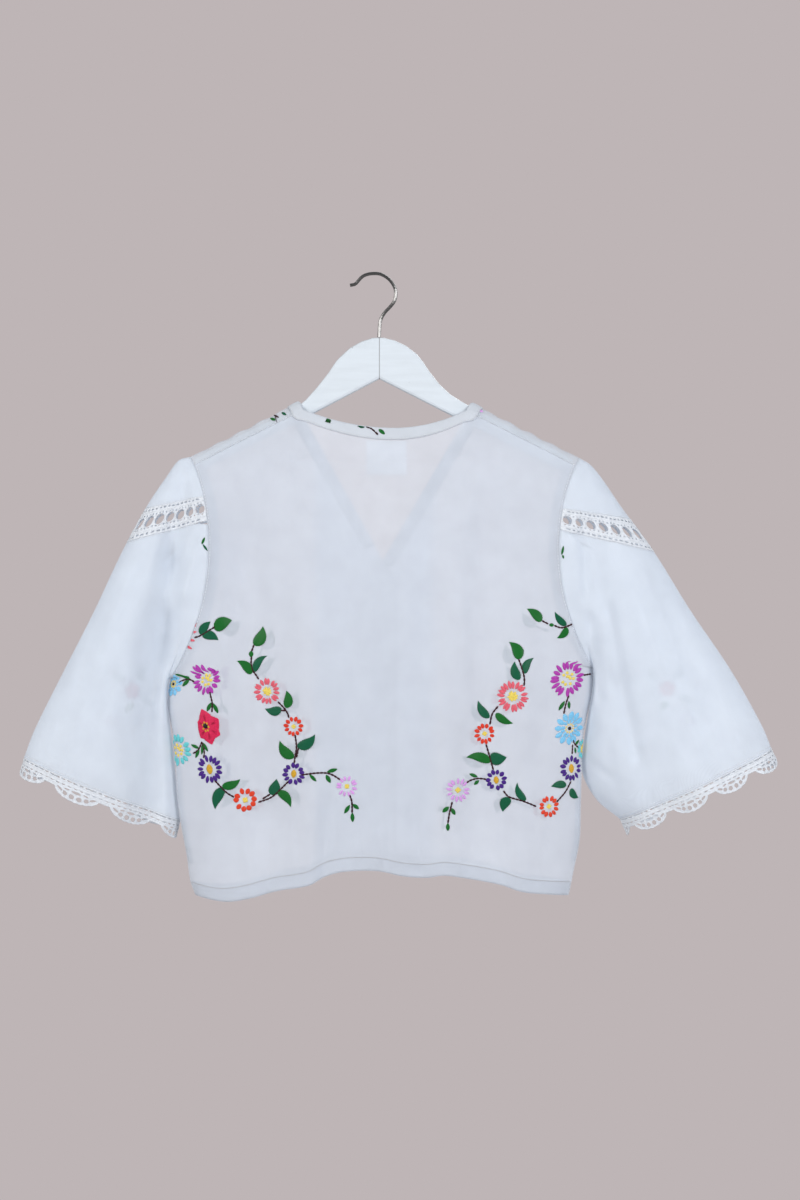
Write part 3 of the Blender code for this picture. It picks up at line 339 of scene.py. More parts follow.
def shoulder_z(side, x):
    tip_x, _, tip_z = SEAM_TIP[side]
    neck_x, neck_z = NECK_SEAM[side]
    return mix(tip_z, neck_z, (x - tip_x) / (neck_x - tip_x))


def back_top_z(x):
    """The back panel's top edge: two shoulder seams and the neckline between them."""
    low_x, low_z = BACK_NECK_LOW
    (left_x, left_z), (right_x, right_z) = NECK_SEAM["left"], NECK_SEAM["right"]
    end_x, end_z = np.where(x < low_x, left_x, right_x), np.where(x < low_x, left_z, right_z)
    neckline = mix(low_z, end_z, ((x - low_x) / (end_x - low_x)) ** 2)
    return np.where(x < left_x, shoulder_z("left", x),
                    np.where(x > right_x, shoulder_z("right", x), neckline))


def panel_y(across, edge_depth, mid_depth, share):
    """The lens of a panel's section, 0 in the middle and 1 at the edge."""
    across = np.minimum(np.abs(across), 1.0)
    fullness = (1 - across ** PROFILE_POWER) ** mix(1.0, SIDE_ROUND, ease(share / 0.5))
    edge_pull = mix(1 - fullness, across ** 9, ease(share / 0.3))
    return (np.maximum(mid_depth, edge_depth * (1 - ease(share / 0.3))) * fullness
            + edge_depth * edge_pull)


print("a panel's edge at the underarm:", [round(float(value)) for value in panel_edge("left", 0.5)])


# %% Panels
def edge_fade(across):
    return 1 - np.abs(across) ** 6


def back_surface(across, v):
    """Points of the back, across from -1 to 1."""
    left, right = panel_edge("left", v), panel_edge("right", v)
    f, share = (across + 1) / 2, panel_share(v)
    x = mix(left[0], right[0], f)
    top_z = back_top_z(mix(SEAM_TIP["left"][0], SEAM_TIP["right"][0], f))
    down = mix(left[2] - SEAM_TIP["left"][2], right[2] - SEAM_TIP["right"][2], f)
    full = mix(along(HEM, HEM_END["left"]) - SEAM_TIP["left"][2],
               along(HEM, HEM_END["right"]) - SEAM_TIP["right"][2], f)
    z = mix(top_z, along(HEM, mix(HEM_END["left"], HEM_END["right"], f)), down / full)
    depth = panel_y(across, mix(left[1], right[1], f), along(BACK_DEPTH, z), share)
    fold = fold_offset(BACK_RELIEF, x, z) * edge_fade(across)
    return np.stack([x, -depth + fold, z], -1)


def neck_edge_x(side, z):
    """A front's inner edge: down the V of the neck, then down the button band."""
    sign = -1 if side == "left" else 1
    neck_x = NECK_SEAM[side][0] + NECK_TOP_SHIFT[side] * 0.6
    x = neck_x + (FRONT_CENTRE - neck_x) / (V_POINT_Z - NECK_EDGE_Z) * (z - NECK_EDGE_Z)
    limit = FRONT_CENTRE - sign * BAND_HALF
    return np.minimum(x, limit) if side == "left" else np.maximum(x, limit)


def shoulder_gather(inward):
    return GATHER_HEIGHT * np.sin(2 * np.pi * SHOULDER_GATHERS * inward) * np.sin(np.pi * inward)


def front_surface(side, inward, v):
    """Points of a front, inward from 0 at the side to 1 at its inner edge."""
    edge_x, edge_depth, edge_z = panel_edge(side, v)
    tip_x, _, tip_z = SEAM_TIP[side]
    share = panel_share(v)
    down = (edge_z - tip_z) / (along(HEM, HEM_END[side]) - tip_z)
    top_z = shoulder_z(side, mix(tip_x, NECK_SEAM[side][0], inward))
    hem_x = mix(HEM_END[side], float(neck_edge_x(side, -650.0)), inward)
    z = mix(top_z, along(HEM, hem_x), down)
    x = mix(edge_x, neck_edge_x(side, z), inward)
    reach = np.minimum(np.abs(x - FRONT_CENTRE) / np.abs(edge_x - FRONT_CENTRE), 1.0)
    depth = panel_y(reach, edge_depth, along(FRONT_DEPTH, z), share)
    fold = fold_offset(FRONT_RELIEF, x, z) * edge_fade(reach)
    near = ease((45 - np.abs(x - FRONT_CENTRE)) / 28) * ease(down * 6)
    lap = FRONT_LAP * near * (1 if side == "right" else -1)
    gather = shoulder_gather(inward) * (1 - ease(down * 9))
    return np.stack([x, depth - fold + lap + gather, z], -1)


def flap_surface(side, inward, angle):
    """The top of a front, where it lies over the hanger's arm. It ends on the back, where
    angle is -SEAM_ANGLE, in the shoulder seam."""
    inward, angle = np.broadcast_arrays(inward, angle)
    tip_x, tip_y, tip_z = armhole(side, np.abs(angle))
    full_x, _, full_z = SEAM_TIP[side]
    neck_seam_x = NECK_SEAM[side][0]
    top_share = 1 - np.abs(angle) / SEAM_ANGLE
    shift = np.where(angle < 0, top_share, 1 - 0.4 * (1 - top_share))
    x = mix(tip_x, neck_seam_x + NECK_TOP_SHIFT[side] * shift, inward)
    z = shoulder_z(side, mix(full_x, neck_seam_x, inward)) + tip_z - full_z
    gather = shoulder_gather(inward)
    z = z + (gather - 0.9 * np.sin(np.pi * inward)) * top_share * 0.6
    rolled = np.stack([x, np.where(angle < 0, -tip_y, tip_y), z], -1)
    step = math.pi / 16
    # the two ends of the flap run into the back's top edge and into the front below
    seam_x = mix(full_x, neck_seam_x, inward)
    across = 2 * (seam_x - SEAM_TIP["left"][0]) / (SEAM_TIP["right"][0] - SEAM_TIP["left"][0]) - 1
    seam = back_surface(across, np.zeros_like(across))
    seam[..., 1] -= 0.5 * np.abs(gather)
    rolled += (seam - rolled) * ease((-angle - 0.4 * step) / (1.6 * step))[..., None]
    front = front_surface(side, inward, np.zeros_like(inward))
    return rolled + (front - rolled) * ease((angle - 0.4 * step) / (1.6 * step))[..., None]


print("back, middle of the hem:", np.round(back_surface(np.array(0.0), np.array(1.0)), 1))

# %% [markdown]
# ## The sleeves
#
# A sleeve is a ring that starts in the armhole and widens towards the cuff. `angle` runs
# over the back from the top line (0) to the underarm seam (pi) and over the front from
# 0 to -pi, and `share` runs from the armhole to the cuff.

# %% Sleeve surfaces
def sleeve_surface(side, angle, share):
    angle, share = np.broadcast_arrays(np.asarray(angle, float), np.asarray(share, float))

    def ring(at):
        ox, oz, oy, ux, uz, uy, back_depth, front_depth, bow = along(SLEEVE[side], at)
        up, swell = (1 + np.cos(angle)) / 2, np.abs(np.sin(angle))
        depth = np.where(angle >= 0, -back_depth, front_depth)
        return mix(ux, ox, up) + bow * swell ** 1.8, mix(uy, oy, up) + depth * swell, mix(uz, oz, up)

    x, y, z = ring(share)
    start_x, start_y, start_z = ring(np.zeros_like(share))
    hole_x, hole_depth, hole_z = armhole(side, np.abs(angle))
    fade = np.abs(np.sin(angle)) * ease(share / 0.06)
    y = y + np.where(angle >= 0, fold_offset(BACK_RELIEF, x, z), -fold_offset(FRONT_RELIEF, x, z)) * fade
    sewn = 1 - ease(share / 0.04)
    x = x + (hole_x - start_x) * sewn
    y = y + (np.where(angle >= 0, -hole_depth, hole_depth) - start_y) * sewn
    z = z + (hole_z - start_z) * sewn
    return np.stack([x, y, z], -1)


def insert_share(side, angle, edge):
    """How far down the sleeve an edge of the lace insertion lies at an angle round it."""
    (ax, az), (bx, bz) = INSERT_EDGES[side][edge]
    low, high = np.zeros_like(angle), np.full_like(angle, 0.6)
    for _ in range(20):
        middle = (low + high) / 2
        point = sleeve_surface(side, np.abs(angle), middle)
        turned = (point[..., 2] - az) * (bx - ax) - (point[..., 0] - ax) * (bz - az)
        beyond = (turned > 0) == (side == "right")
        low, high = np.where(beyond, middle, low), np.where(beyond, high, middle)
    return np.where(low < 0.001, 0.0, low)


def lengths_along(points):
    """The distance walked from the first point of a line to each of its points."""
    return np.concatenate([[0.0], np.cumsum(np.linalg.norm(np.diff(points, axis=0), axis=1))])


def points_at(at, run, line):
    """The points of a line at distances along it."""
    return np.stack([np.interp(at, run, values) for values in line.T], -1)


def insert_line(side, edge, count=600):
    """An edge of the insertion as (angle, share), evenly spaced on the cloth."""
    angles = np.linspace(-0.9 * np.pi, 0.9 * np.pi, 2400)
    shares = insert_share(side, angles, edge)
    inside = np.flatnonzero(shares > 0)
    angles, shares = angles[inside[0]:inside[-1] + 1], shares[inside[0]:inside[-1] + 1]
    shares[0] = shares[-1] = 0.0
    run = lengths_along(sleeve_surface(side, angles, shares))
    at = np.linspace(0, run[-1], count)
    return points_at(at, run, np.stack([angles, shares], -1)), run[-1]


INSERT_LINES = {side: [insert_line(side, edge)[0] for edge in (0, 1)] for side in SLEEVE}
INSERT_LENGTH = {side: insert_line(side, 1)[1] for side in SLEEVE}
print("lace insertions, mm:", {side: round(length) for side, length in INSERT_LENGTH.items()})

# %% [markdown]
# ## Cloth that looks like cloth
#
# Plain-woven cotton is threads that pass over and under each other. From near by one
# sees the weave, from afar only a soft white with a bluish shade, a little uneven where
# threads are thicker. Light also comes through thin cotton, so the shader mixes three
# things: the white surface, light that glows through it, and a small share that passes
# straight through the gaps between threads. A hem or seam has two layers and therefore
# looks whiter, without being told. Beside their opening the fronts are lined with a
# facing, so near the middle their cloth is told to be less sheer.

# %% Tools for finishes
class Finish:
    """A new material or sky. Its nodes are added one by one and joined as they are made."""

    def __init__(self, made):
        made.use_nodes = True
        self.made, self.tree = made, made.node_tree
        self.tree.nodes.clear()

    def add(self, kind, inputs, **settings):
        """A node. Its inputs are plain values, sockets, or nodes whose first output counts."""
        node = self.tree.nodes.new("ShaderNode" + kind)
        for name, value in settings.items():
            setattr(node, name, value)
        for name, value in inputs.items():
            if isinstance(value, bpy.types.Node):
                value = value.outputs[0]
            if isinstance(value, bpy.types.NodeSocket):
                self.tree.links.new(value, node.inputs[name])
            else:
                node.inputs[name].default_value = value
        return node

    def ramp(self, amount, low, low_colour, high, high_colour):
        """A colour that changes from one tone to another between two amounts."""
        tone = self.add("ValToRGB", {"Fac": amount})
        for stop, place, colour in zip(tone.color_ramp.elements, (low, high), (low_colour, high_colour)):
            stop.position, stop.color = place, (*[min(value, 1) for value in colour], 1)
        return tone

    def place(self):
        """The piece's own coordinates, in metres."""
        return self.add("TexCoord", {}).outputs["Object"]

    def done(self, shader, end="OutputMaterial"):
        self.add(end, {"Surface": shader})
        return self.made


def shade(colour, amount):
    return [value * amount for value in colour]


print("a shade of white:", shade((1, 1, 1), 0.965))

# %% Cotton
WARP_SCALE = 449.0  # gives 14 threads to a centimetre


def cotton_cloth(name, colour, see_through, glow, doubled=None):
    """Plain weave. Nearer to the middle than doubled, in metres, a facing lies behind it."""
    new = Finish(bpy.data.materials.new(name))
    unrolled, place = new.add("TexCoord", {}).outputs["UV"], new.place()
    warp, weft = [new.add("TexWave", {"Scale": WARP_SCALE, "Distortion": 0.6, "Detail": 1.0,
                                      "Vector": unrolled}, bands_direction=direction)
                  for direction in ("X", "Y")]
    weave = new.add("Math", {0: warp.outputs["Fac"], 1: weft.outputs["Fac"]}, operation="MAXIMUM")
    slubs = new.add("TexNoise", {"Scale": 46.0, "Detail": 4.0, "Vector": place})
    tone = new.ramp(slubs, 0.3, shade(colour, 0.965), 0.7, shade(colour, 1.02))
    raised = new.add("Math", {0: weave, 1: 0.6, 2: slubs}, operation="MULTIPLY_ADD")
    bump = new.add("Bump", {"Strength": 0.2, "Distance": 0.0004, "Height": raised})
    surface = new.add("BsdfPrincipled", {
        "Roughness": 0.9, "Specular IOR Level": 0.25, "Sheen Weight": 0.12, "Sheen Roughness": 0.5,
        "Base Color": tone, "Normal": bump})
    through = new.add("BsdfTranslucent", {"Color": tone, "Normal": bump})
    glowing = new.add("MixShader", {0: glow, 1: surface, 2: through})
    open_share = new.add("MapRange", {"Value": weave, "To Min": see_through * 1.1,
                                      "To Max": see_through * 0.9})
    if doubled:
        from_middle = new.add("SeparateXYZ", {0: place})
        off = new.add("Math", {0: from_middle}, operation="ABSOLUTE")
        single = new.add("MapRange", {"Value": off, "From Min": doubled, "From Max": doubled + 0.012,
                                      "To Min": 0.25})
        open_share = new.add("Math", {0: open_share, 1: single}, operation="MULTIPLY")
    gaps = new.add("BsdfTransparent", {})
    return new.done(new.add("MixShader", {0: open_share, 1: glowing, 2: gaps}))


# One white cotton in four copies, whose tones differ as painted light and shade: the body's is set darker to
# paint the shade of the dim inside that shows through it, the sleeves' lighter as painted light, and the
# trim's darker again as painted shade.
body_cotton = cotton_cloth("white_cotton_body", (0.77, 0.812, 0.892), 0.6, 0.05)
sleeve_cotton = cotton_cloth("white_cotton_sleeves", (0.865, 0.915, 0.985), 0.42, 0.3)
front_cotton = cotton_cloth("white_cotton_fronts", (0.79, 0.83, 0.895), 0.66, 0.05, doubled=0.055)
trim_cotton = cotton_cloth("white_cotton_trim", (0.71, 0.75, 0.81), 0.08, 0.15)
print("cloths:", body_cotton.name, sleeve_cotton.name, trim_cotton.name)

# %% [markdown]
# ## Cutting the cloth
#
# `cloth` makes one cut piece from a grid of points. The middle of its thickness is the
# surface from the tables, and Solidify gives it the thickness of real cotton. The
# distances walked over the cloth go into a UV map, in metres, so that the weave runs
# with the cloth and keeps its size.

# %% Tools for cloth
COTTON_THICK = 0.6
LACE_THICK = 0.8


def to_frame(points):
    """From the tables' millimetres to the frame's metres."""
    placed = np.array(points, float)
    placed[..., 0] -= CROWN_X
    return placed * 0.001


def grid_quads(rows, columns, closed=False):
    r, c = np.meshgrid(np.arange(rows - 1), np.arange(columns if closed else columns - 1), indexing="ij")
    after = (c + 1) % columns
    return np.stack([r * columns + c, r * columns + after,
                     (r + 1) * columns + after, (r + 1) * columns + c], -1).reshape(-1, 4)


def walked(grid, axis):
    """Distances over a grid of points along an axis, in metres."""
    step = np.linalg.norm(np.diff(grid, axis=axis), axis=-1)
    pad = [(0, 0), (0, 0)]
    pad[axis] = (1, 0)
    return np.cumsum(np.pad(step, pad), axis=axis) * 0.001


def mesh_object(name, points, faces, materials, marks=None):
    """A smooth mesh object from points in the tables' millimetres."""
    mesh = bpy.data.meshes.new(name)
    mesh.from_pydata(to_frame(points).tolist(), [], [list(map(int, face)) for face in faces])
    for finish in materials:
        mesh.materials.append(finish)
    if marks is not None:
        mesh.polygons.foreach_set("material_index", np.asarray(marks, np.int32))
    mesh.shade_smooth()
    made = bpy.data.objects.new(name, mesh)
    bpy.context.collection.objects.link(made)
    return made


def give_weave(piece, across, down):
    """Writes the cloth's own coordinates, one for each point, to a UV map."""
    mesh = piece.data
    corner = np.empty(len(mesh.loops), np.int32)
    mesh.loops.foreach_get("vertex_index", corner)
    layer = mesh.uv_layers.new(name="weave")
    flat = np.stack([np.ravel(across)[corner], np.ravel(down)[corner]], -1)
    layer.data.foreach_set("uv", flat.ravel().astype(np.float32))


def thicken(piece, millimetres):
    wall = piece.modifiers.new("thickness of the cloth", "SOLIDIFY")
    wall.thickness = millimetres * 0.001
    wall.offset = 0.0
    return piece


def weld(piece, millimetres=0.05):
    """Joins points that coincide, as where a pattern piece runs out to a point."""
    mesh = bmesh.new()
    mesh.from_mesh(piece.data)
    bmesh.ops.remove_doubles(mesh, verts=mesh.verts, dist=millimetres * 0.001)
    bmesh.ops.dissolve_degenerate(mesh, edges=mesh.edges, dist=millimetres * 0.0005)
    mesh.to_mesh(piece.data)
    mesh.free()


def settle(piece, stands_for=()):
    """Puts a piece on the blouse's one body, in the place of the solids that it stands for."""
    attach(piece, "root")
    if stands_for:
        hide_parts(*stands_for)
    return piece


def cloth(name, grid, finish, closed=False, thick=COTTON_THICK,
          stands_for=()):
    rows, columns = grid.shape[:2]
    piece = mesh_object(name, grid.reshape(-1, 3), grid_quads(rows, columns, closed), [finish])
    give_weave(piece, walked(grid, 1), walked(grid, 0))
    weld(piece)
    return settle(thicken(piece, thick), stands_for)


print("cloth is thickened to both sides of its grid")

# %% [markdown]
# The body's three panels come next. Where the armhole ends, a panel's edge turns a
# corner, and the tables would carry that corner across the cloth as a line. Real cloth
# hangs smoothly there, so its depth is averaged down each column near that height.

# %% Body
V_ROWS = np.concatenate([np.linspace(0, 0.5, 96)[:-1], np.linspace(0.5, 1, 96)])
UNDERARM_ROW = 95
NECK_ACROSS = {side: 2 * (NECK_SEAM[side][0] - SEAM_TIP["left"][0])
               / (SEAM_TIP["right"][0] - SEAM_TIP["left"][0]) - 1 for side in NECK_SEAM}


def towards_edge(count):
    """Values from 0 to 1 that crowd together near 0, for the edge of a piece."""
    t = np.linspace(0, 1, count)
    return t * (0.35 + 0.65 * t)


def eased_at_underarm(grid, spread=16, reach=32, edge=14):
    """Rubs out the line that the corner of the underarm would draw across a panel."""
    grid = grid.copy()
    x, y = grid[..., 0], grid[..., 1]
    run = np.stack([lengths_along(column) for column in np.moveaxis(grid, 1, 0)], 1)
    run = run - run[len(grid) - len(V_ROWS) + UNDERARM_ROW]
    step, soft = np.gradient(run, axis=0), np.empty_like(y)
    for c in range(grid.shape[1]):
        near = np.exp(-((run[:, c, None] - run[None, :, c]) / spread) ** 2) * step[None, :, c]
        soft[:, c] = near @ y[:, c] / near.sum(1)
    weight = np.exp(-(run / reach) ** 4)
    for side in (0, -1):
        if np.median(np.abs(x[:, side])) > 150:
            weight = weight * ease(np.abs(x - x[:, side][:, None]) / edge)
    grid[..., 1] = mix(y, soft, weight)
    return grid


edge_to_neck_left = -1 + (NECK_ACROSS["left"] + 1) * towards_edge(56)
edge_to_neck_right = 1 + (NECK_ACROSS["right"] - 1) * towards_edge(56)
back_across = np.concatenate([edge_to_neck_left, np.linspace(
    NECK_ACROSS["left"], NECK_ACROSS["right"], 62)[1:-1], edge_to_neck_right[::-1]])
back_grid = eased_at_underarm(back_surface(back_across[None, :], V_ROWS[:, None]))
back_panel = cloth("back_panel_cloth", back_grid, body_cotton, stands_for=("back_panel",))

FLAP_ANGLES = np.linspace(-SEAM_ANGLE, SEAM_ANGLE, 25)
front_inward = np.concatenate([towards_edge(70)[:-8], 1 - towards_edge(12)[::-1] * 0.11])
front_inward = np.unique(np.clip(front_inward, 0, 1))
front_grids = {}
for side in ("left", "right"):
    flap = flap_surface(side, front_inward[None, :], FLAP_ANGLES[:-1, None])
    below = front_surface(side, front_inward[None, :], V_ROWS[:, None])
    front_grids[side] = eased_at_underarm(np.concatenate([flap, below]))
    front = cloth(f"front_{side}_cloth", front_grids[side], front_cotton, stands_for=(f"front_{side}",))
print("body cut:", back_grid.shape[:2], front_grids["left"].shape[:2])

# %% [markdown]
# The sleeve is cut in two: a cap above the crochet band and the long flared part below
# it. On the real blouse the band was sewn between them, so both edges follow the same
# slanting lines round the arm.

# %% Sleeves
sleeve_grids, cap_grids = {}, {}
for side in ("left", "right"):
    upper = INSERT_LINES[side][0]
    ends = upper[::8]
    rows = np.linspace(0, 1, 26)[:, None]
    cap_grids[side] = sleeve_surface(side, ends[None, :, 0], ends[None, :, 1] * rows)
    cap = cloth(f"sleeve_cap_{side}_cloth", cap_grids[side], sleeve_cotton,
                stands_for=(f"sleeve_cap_{side}",))
    turn = np.linspace(-np.pi, np.pi, 151)[:-1]
    top = insert_share(side, turn, 1)
    down = np.linspace(0, 1, 104)[:, None]
    sleeve_grids[side] = sleeve_surface(side, turn[None, :], mix(top[None, :], 1.0, down))
    sleeve = cloth(f"sleeve_{side}_cloth", sleeve_grids[side], sleeve_cotton, closed=True,
                   stands_for=(f"sleeve_{side}",))


def grid_area(grid, closed=False):
    """The area of a grid of points, in square metres."""
    if closed:
        grid = np.concatenate([grid, grid[:, :1]], axis=1)
    across, down = np.diff(grid, axis=1)[:-1], np.diff(grid, axis=0)[:, :-1]
    return float(np.linalg.norm(np.cross(across, down), axis=-1).sum()) * 1e-6


for side in ("left", "right"):
    print(side, "cap, sleeve and front, square metres:", round(grid_area(cap_grids[side]), 4),
          round(grid_area(sleeve_grids[side], True), 4), round(grid_area(front_grids[side]), 4))
print("back, square metres:", round(grid_area(back_grid), 4))

# %% [markdown]
# ## Crochet lace
#
# Crochet is one thick thread looped round itself. Seen from an arm's length it is a
# dense band with holes in it: a ladder of small slots along each edge, and round or
# diamond holes between. We cut a sheet with clean oval holes first. Its grid points next
# to a hole move onto the hole's rim, so the cut is smooth. Then real threads are laid
# round a band's large holes, round every hole of a cuff's fans and along the edges, and
# they catch the light as yarn does.

# %% Crochet yarn
def crochet_yarn(name, colour):
    new = Finish(bpy.data.materials.new(name))
    place = new.place()
    loops = new.add("TexVoronoi", {"Scale": 900.0, "Vector": place})
    twist = new.add("TexNoise", {"Scale": 380.0, "Detail": 3.0, "Vector": place})
    tone = new.ramp(twist, 0.2, shade(colour, 0.88), 0.65, colour)
    bump = new.add("Bump", {"Strength": 0.55, "Distance": 0.0005, "Height": loops})
    yarn = new.add("BsdfPrincipled", {"Roughness": 0.85, "Sheen Weight": 0.15, "Specular IOR Level": 0.25,
                                      "Base Color": tone, "Normal": bump})
    glow = new.add("BsdfTranslucent", {"Color": tone})
    return new.done(new.add("MixShader", {0: 0.14, 1: yarn, 2: glow}))


lace_yarn = crochet_yarn("white_crochet_yarn", (0.84, 0.875, 0.93))
print("yarn:", lace_yarn.name)


# %% Thread tools
class Bundle:
    """Collects many small forms, which become one object in the end."""

    def __init__(self):
        self.points, self.faces, self.marks, self.count = [], [], [], 0

    def add(self, points, faces, mark=0):
        points = np.asarray(points, float).reshape(-1, 3)
        self.points.append(points)
        self.faces += [[index + self.count for index in face] for face in faces]
        self.marks += [mark] * len(faces)
        self.count += len(points)

    def tie(self, name, materials, slot):
        settle(mesh_object(name, np.concatenate(self.points), self.faces, materials, self.marks))


def unit(vectors):
    return vectors / np.maximum(np.linalg.norm(vectors, axis=-1, keepdims=True), 1e-9)


def thread(bundle, line, normals, radius, sides=6, closed=False, flat=0.8, mark=0):
    """A round thread along a line. flat presses it a little towards the cloth."""
    line = np.asarray(line, float)
    tangent = unit(np.roll(line, -1, axis=0) - np.roll(line, 1, axis=0) if closed
                   else np.gradient(line, axis=0))
    beside = unit(np.cross(normals, tangent))
    up = np.cross(tangent, beside)
    turn = np.linspace(0, 2 * np.pi, sides, endpoint=False)
    radius = np.broadcast_to(radius, len(line))[:, None, None]
    ring = (line[:, None] + radius * (np.cos(turn)[None, :, None] * beside[:, None]
                                      + flat * np.sin(turn)[None, :, None] * up[:, None]))
    size = len(line) * sides
    faces = (grid_quads(len(line) + closed, sides, True) % size).tolist()
    if not closed:
        faces += [list(range(sides))[::-1], list(range(size - sides, size))]
    bundle.add(ring.reshape(-1, 3), faces, mark)


def surface_frame(surface, u, v, step=0.4):
    """Points of a surface that is measured in millimetres, and the directions out of it."""
    u, v = np.broadcast_arrays(np.asarray(u, float), np.asarray(v, float))
    here = surface(u, v)
    by_u = surface(u + step, v) - surface(u - step, v)
    by_v = surface(u, v + step) - surface(u, v - step)
    return here, unit(np.cross(by_u, by_v))


print("a thread has six sides unless told otherwise")


# %% Holes
def hole_radius(hole, u, v):
    """1 on a hole's rim and less inside it. Power 2 is an oval, and more makes it squarer."""
    u0, v0, half_u, half_v, tilt, power = hole
    cosine, sine = math.cos(tilt), math.sin(tilt)
    a = ((u - u0) * cosine + (v - v0) * sine) / half_u
    b = (-(u - u0) * sine + (v - v0) * cosine) / half_v
    return (np.abs(a) ** power + np.abs(b) ** power) ** (1 / power)


def hole_outline(hole, grow=0.0, steps=16):
    u0, v0, half_u, half_v, tilt, power = hole
    turn = np.linspace(0, 2 * np.pi, steps, endpoint=False)
    cosine, sine = np.cos(turn), np.sin(turn)
    a = np.sign(cosine) * np.abs(cosine) ** (2 / power) * (half_u + grow)
    b = np.sign(sine) * np.abs(sine) ** (2 / power) * (half_v + grow)
    return (u0 + a * math.cos(tilt) - b * math.sin(tilt),
            v0 + a * math.sin(tilt) + b * math.cos(tilt))


def mesh_without(name, points, quads, cut, finish):
    """A mesh without the quads that are cut, and which of the points it still uses."""
    keep = quads[~cut]
    used = np.unique(keep)
    renumber = np.full(points.size // 3, -1)
    renumber[used] = np.arange(len(used))
    return mesh_object(name, points.reshape(-1, 3)[used], renumber[keep], [finish]), used


def holed_sheet(name, surface, u, v, holes, finish, stands_for, closed=False, wrap=None):
    """A sheet with its holes cut out. u and v are grids of places on it, in millimetres."""
    u, v = u.copy(), v.copy()
    cell = float(np.median(np.abs(np.diff(u, axis=1))))
    quads = grid_quads(*u.shape, closed)
    cut = np.zeros(len(quads), bool)
    for hole in holes:
        for shift in (0.0,) if wrap is None else (0.0, -wrap, wrap):
            moved = (hole[0] + shift, *hole[1:])
            radius = hole_radius(moved, u, v)
            reach = min(hole[2], hole[3])
            near = np.abs(radius - 1) * reach < 0.52 * cell
            scale = np.where(near, 1 / np.maximum(radius, 0.2), 1.0)
            u, v = moved[0] + (u - moved[0]) * scale, moved[1] + (v - moved[1]) * scale
            flat_u, flat_v = u.ravel()[quads], v.ravel()[quads]
            if closed:
                jump = flat_u - flat_u[:, :1]
                flat_u = flat_u - np.round(jump / wrap) * wrap
            cut |= hole_radius(moved, flat_u.mean(1), flat_v.mean(1)) < 0.97
    piece, used = mesh_without(name, surface(u, v), quads, cut, finish)
    give_weave(piece, (u.ravel() * 0.001)[used], (v.ravel() * 0.001)[used])
    weld(piece, 0.03)
    return settle(thicken(piece, LACE_THICK), stands_for)


print("a hole of 4 by 2 mm has an outline of", len(hole_outline((0, 0, 2, 1, 0, 2))[0]), "points")

# %% [markdown]
# The band in the sleeve repeats one large hole about every 15 mm. Each has a ring of
# small holes round it, and the two long edges are ladders: slots almost 4 mm long with
# a bar between them, where the band was sewn to the cloth.

# %% Shape and holes of a band
BAND_WIDTH = 23.5
BAND_MIDDLE = 11.7


def band_surface(side):
    """The insertion's surface: u runs along it and v across it, both in millimetres."""
    upper, lower = INSERT_LINES[side]
    length, marks = INSERT_LENGTH[side], np.linspace(0, 1, len(upper))

    def surface(u, v):
        t, f = np.clip(u / length, 0, 1), v / BAND_WIDTH
        angle = mix(np.interp(t, marks, upper[:, 0]), np.interp(t, marks, lower[:, 0]), f)
        share = mix(np.interp(t, marks, upper[:, 1]), np.interp(t, marks, lower[:, 1]), f)
        return sleeve_surface(side, angle, np.maximum(share, 0.0))

    return surface


def band_holes(length):
    pitch = length / INSERT_CELLS
    holes, diamonds = [], []
    for cell in range(INSERT_CELLS):
        middle = (cell + 0.5) * pitch
        lean = 0.25 * math.sin(2.1 * cell)
        size = 1.0 + 0.04 * math.sin(3.7 * cell + 1.0)
        diamonds.append((middle, BAND_MIDDLE, 5.5 * size, 4.25 * size, lean * 0.4, 2.2))
        for k in range(8):
            turn = 2 * math.pi * (k + 0.5) / 8
            far_u, far_v = 0.40 * pitch * math.cos(turn), 5.7 * math.sin(turn)
            if abs(far_v) < 3.0:
                continue
            tilt = math.atan2(5.7 * math.cos(turn), -0.40 * pitch * math.sin(turn))
            holes.append((middle + far_u, BAND_MIDDLE + far_v, 1.35, 0.62, tilt, 2.0))
        holes.append((cell * pitch + 0.01, BAND_MIDDLE + 4.9, 1.1, 0.75, 0.0, 2.0))
        holes.append((cell * pitch + 0.01, BAND_MIDDLE - 4.9, 1.1, 0.75, 0.0, 2.0))
    slots = []
    count = int(length / 6.0)
    for k in range(count):
        at = (k + 0.5) * length / count
        long = 1.9 + 0.3 * math.sin(k * 2.3)
        upper, lower = 2.0 + 0.2 * math.sin(k * 1.3), BAND_WIDTH - 2.0 + 0.2 * math.sin(k * 1.9)
        slots.append((at, upper, long, 0.72, 0.06 * math.sin(k * 3.1), 2.6))
        slots.append((at, lower, long, 0.72, 0.06 * math.cos(k * 2.7), 2.6))
    return diamonds, holes, slots


print("holes of a band 200 mm long:", [len(kind) for kind in band_holes(200.0)])

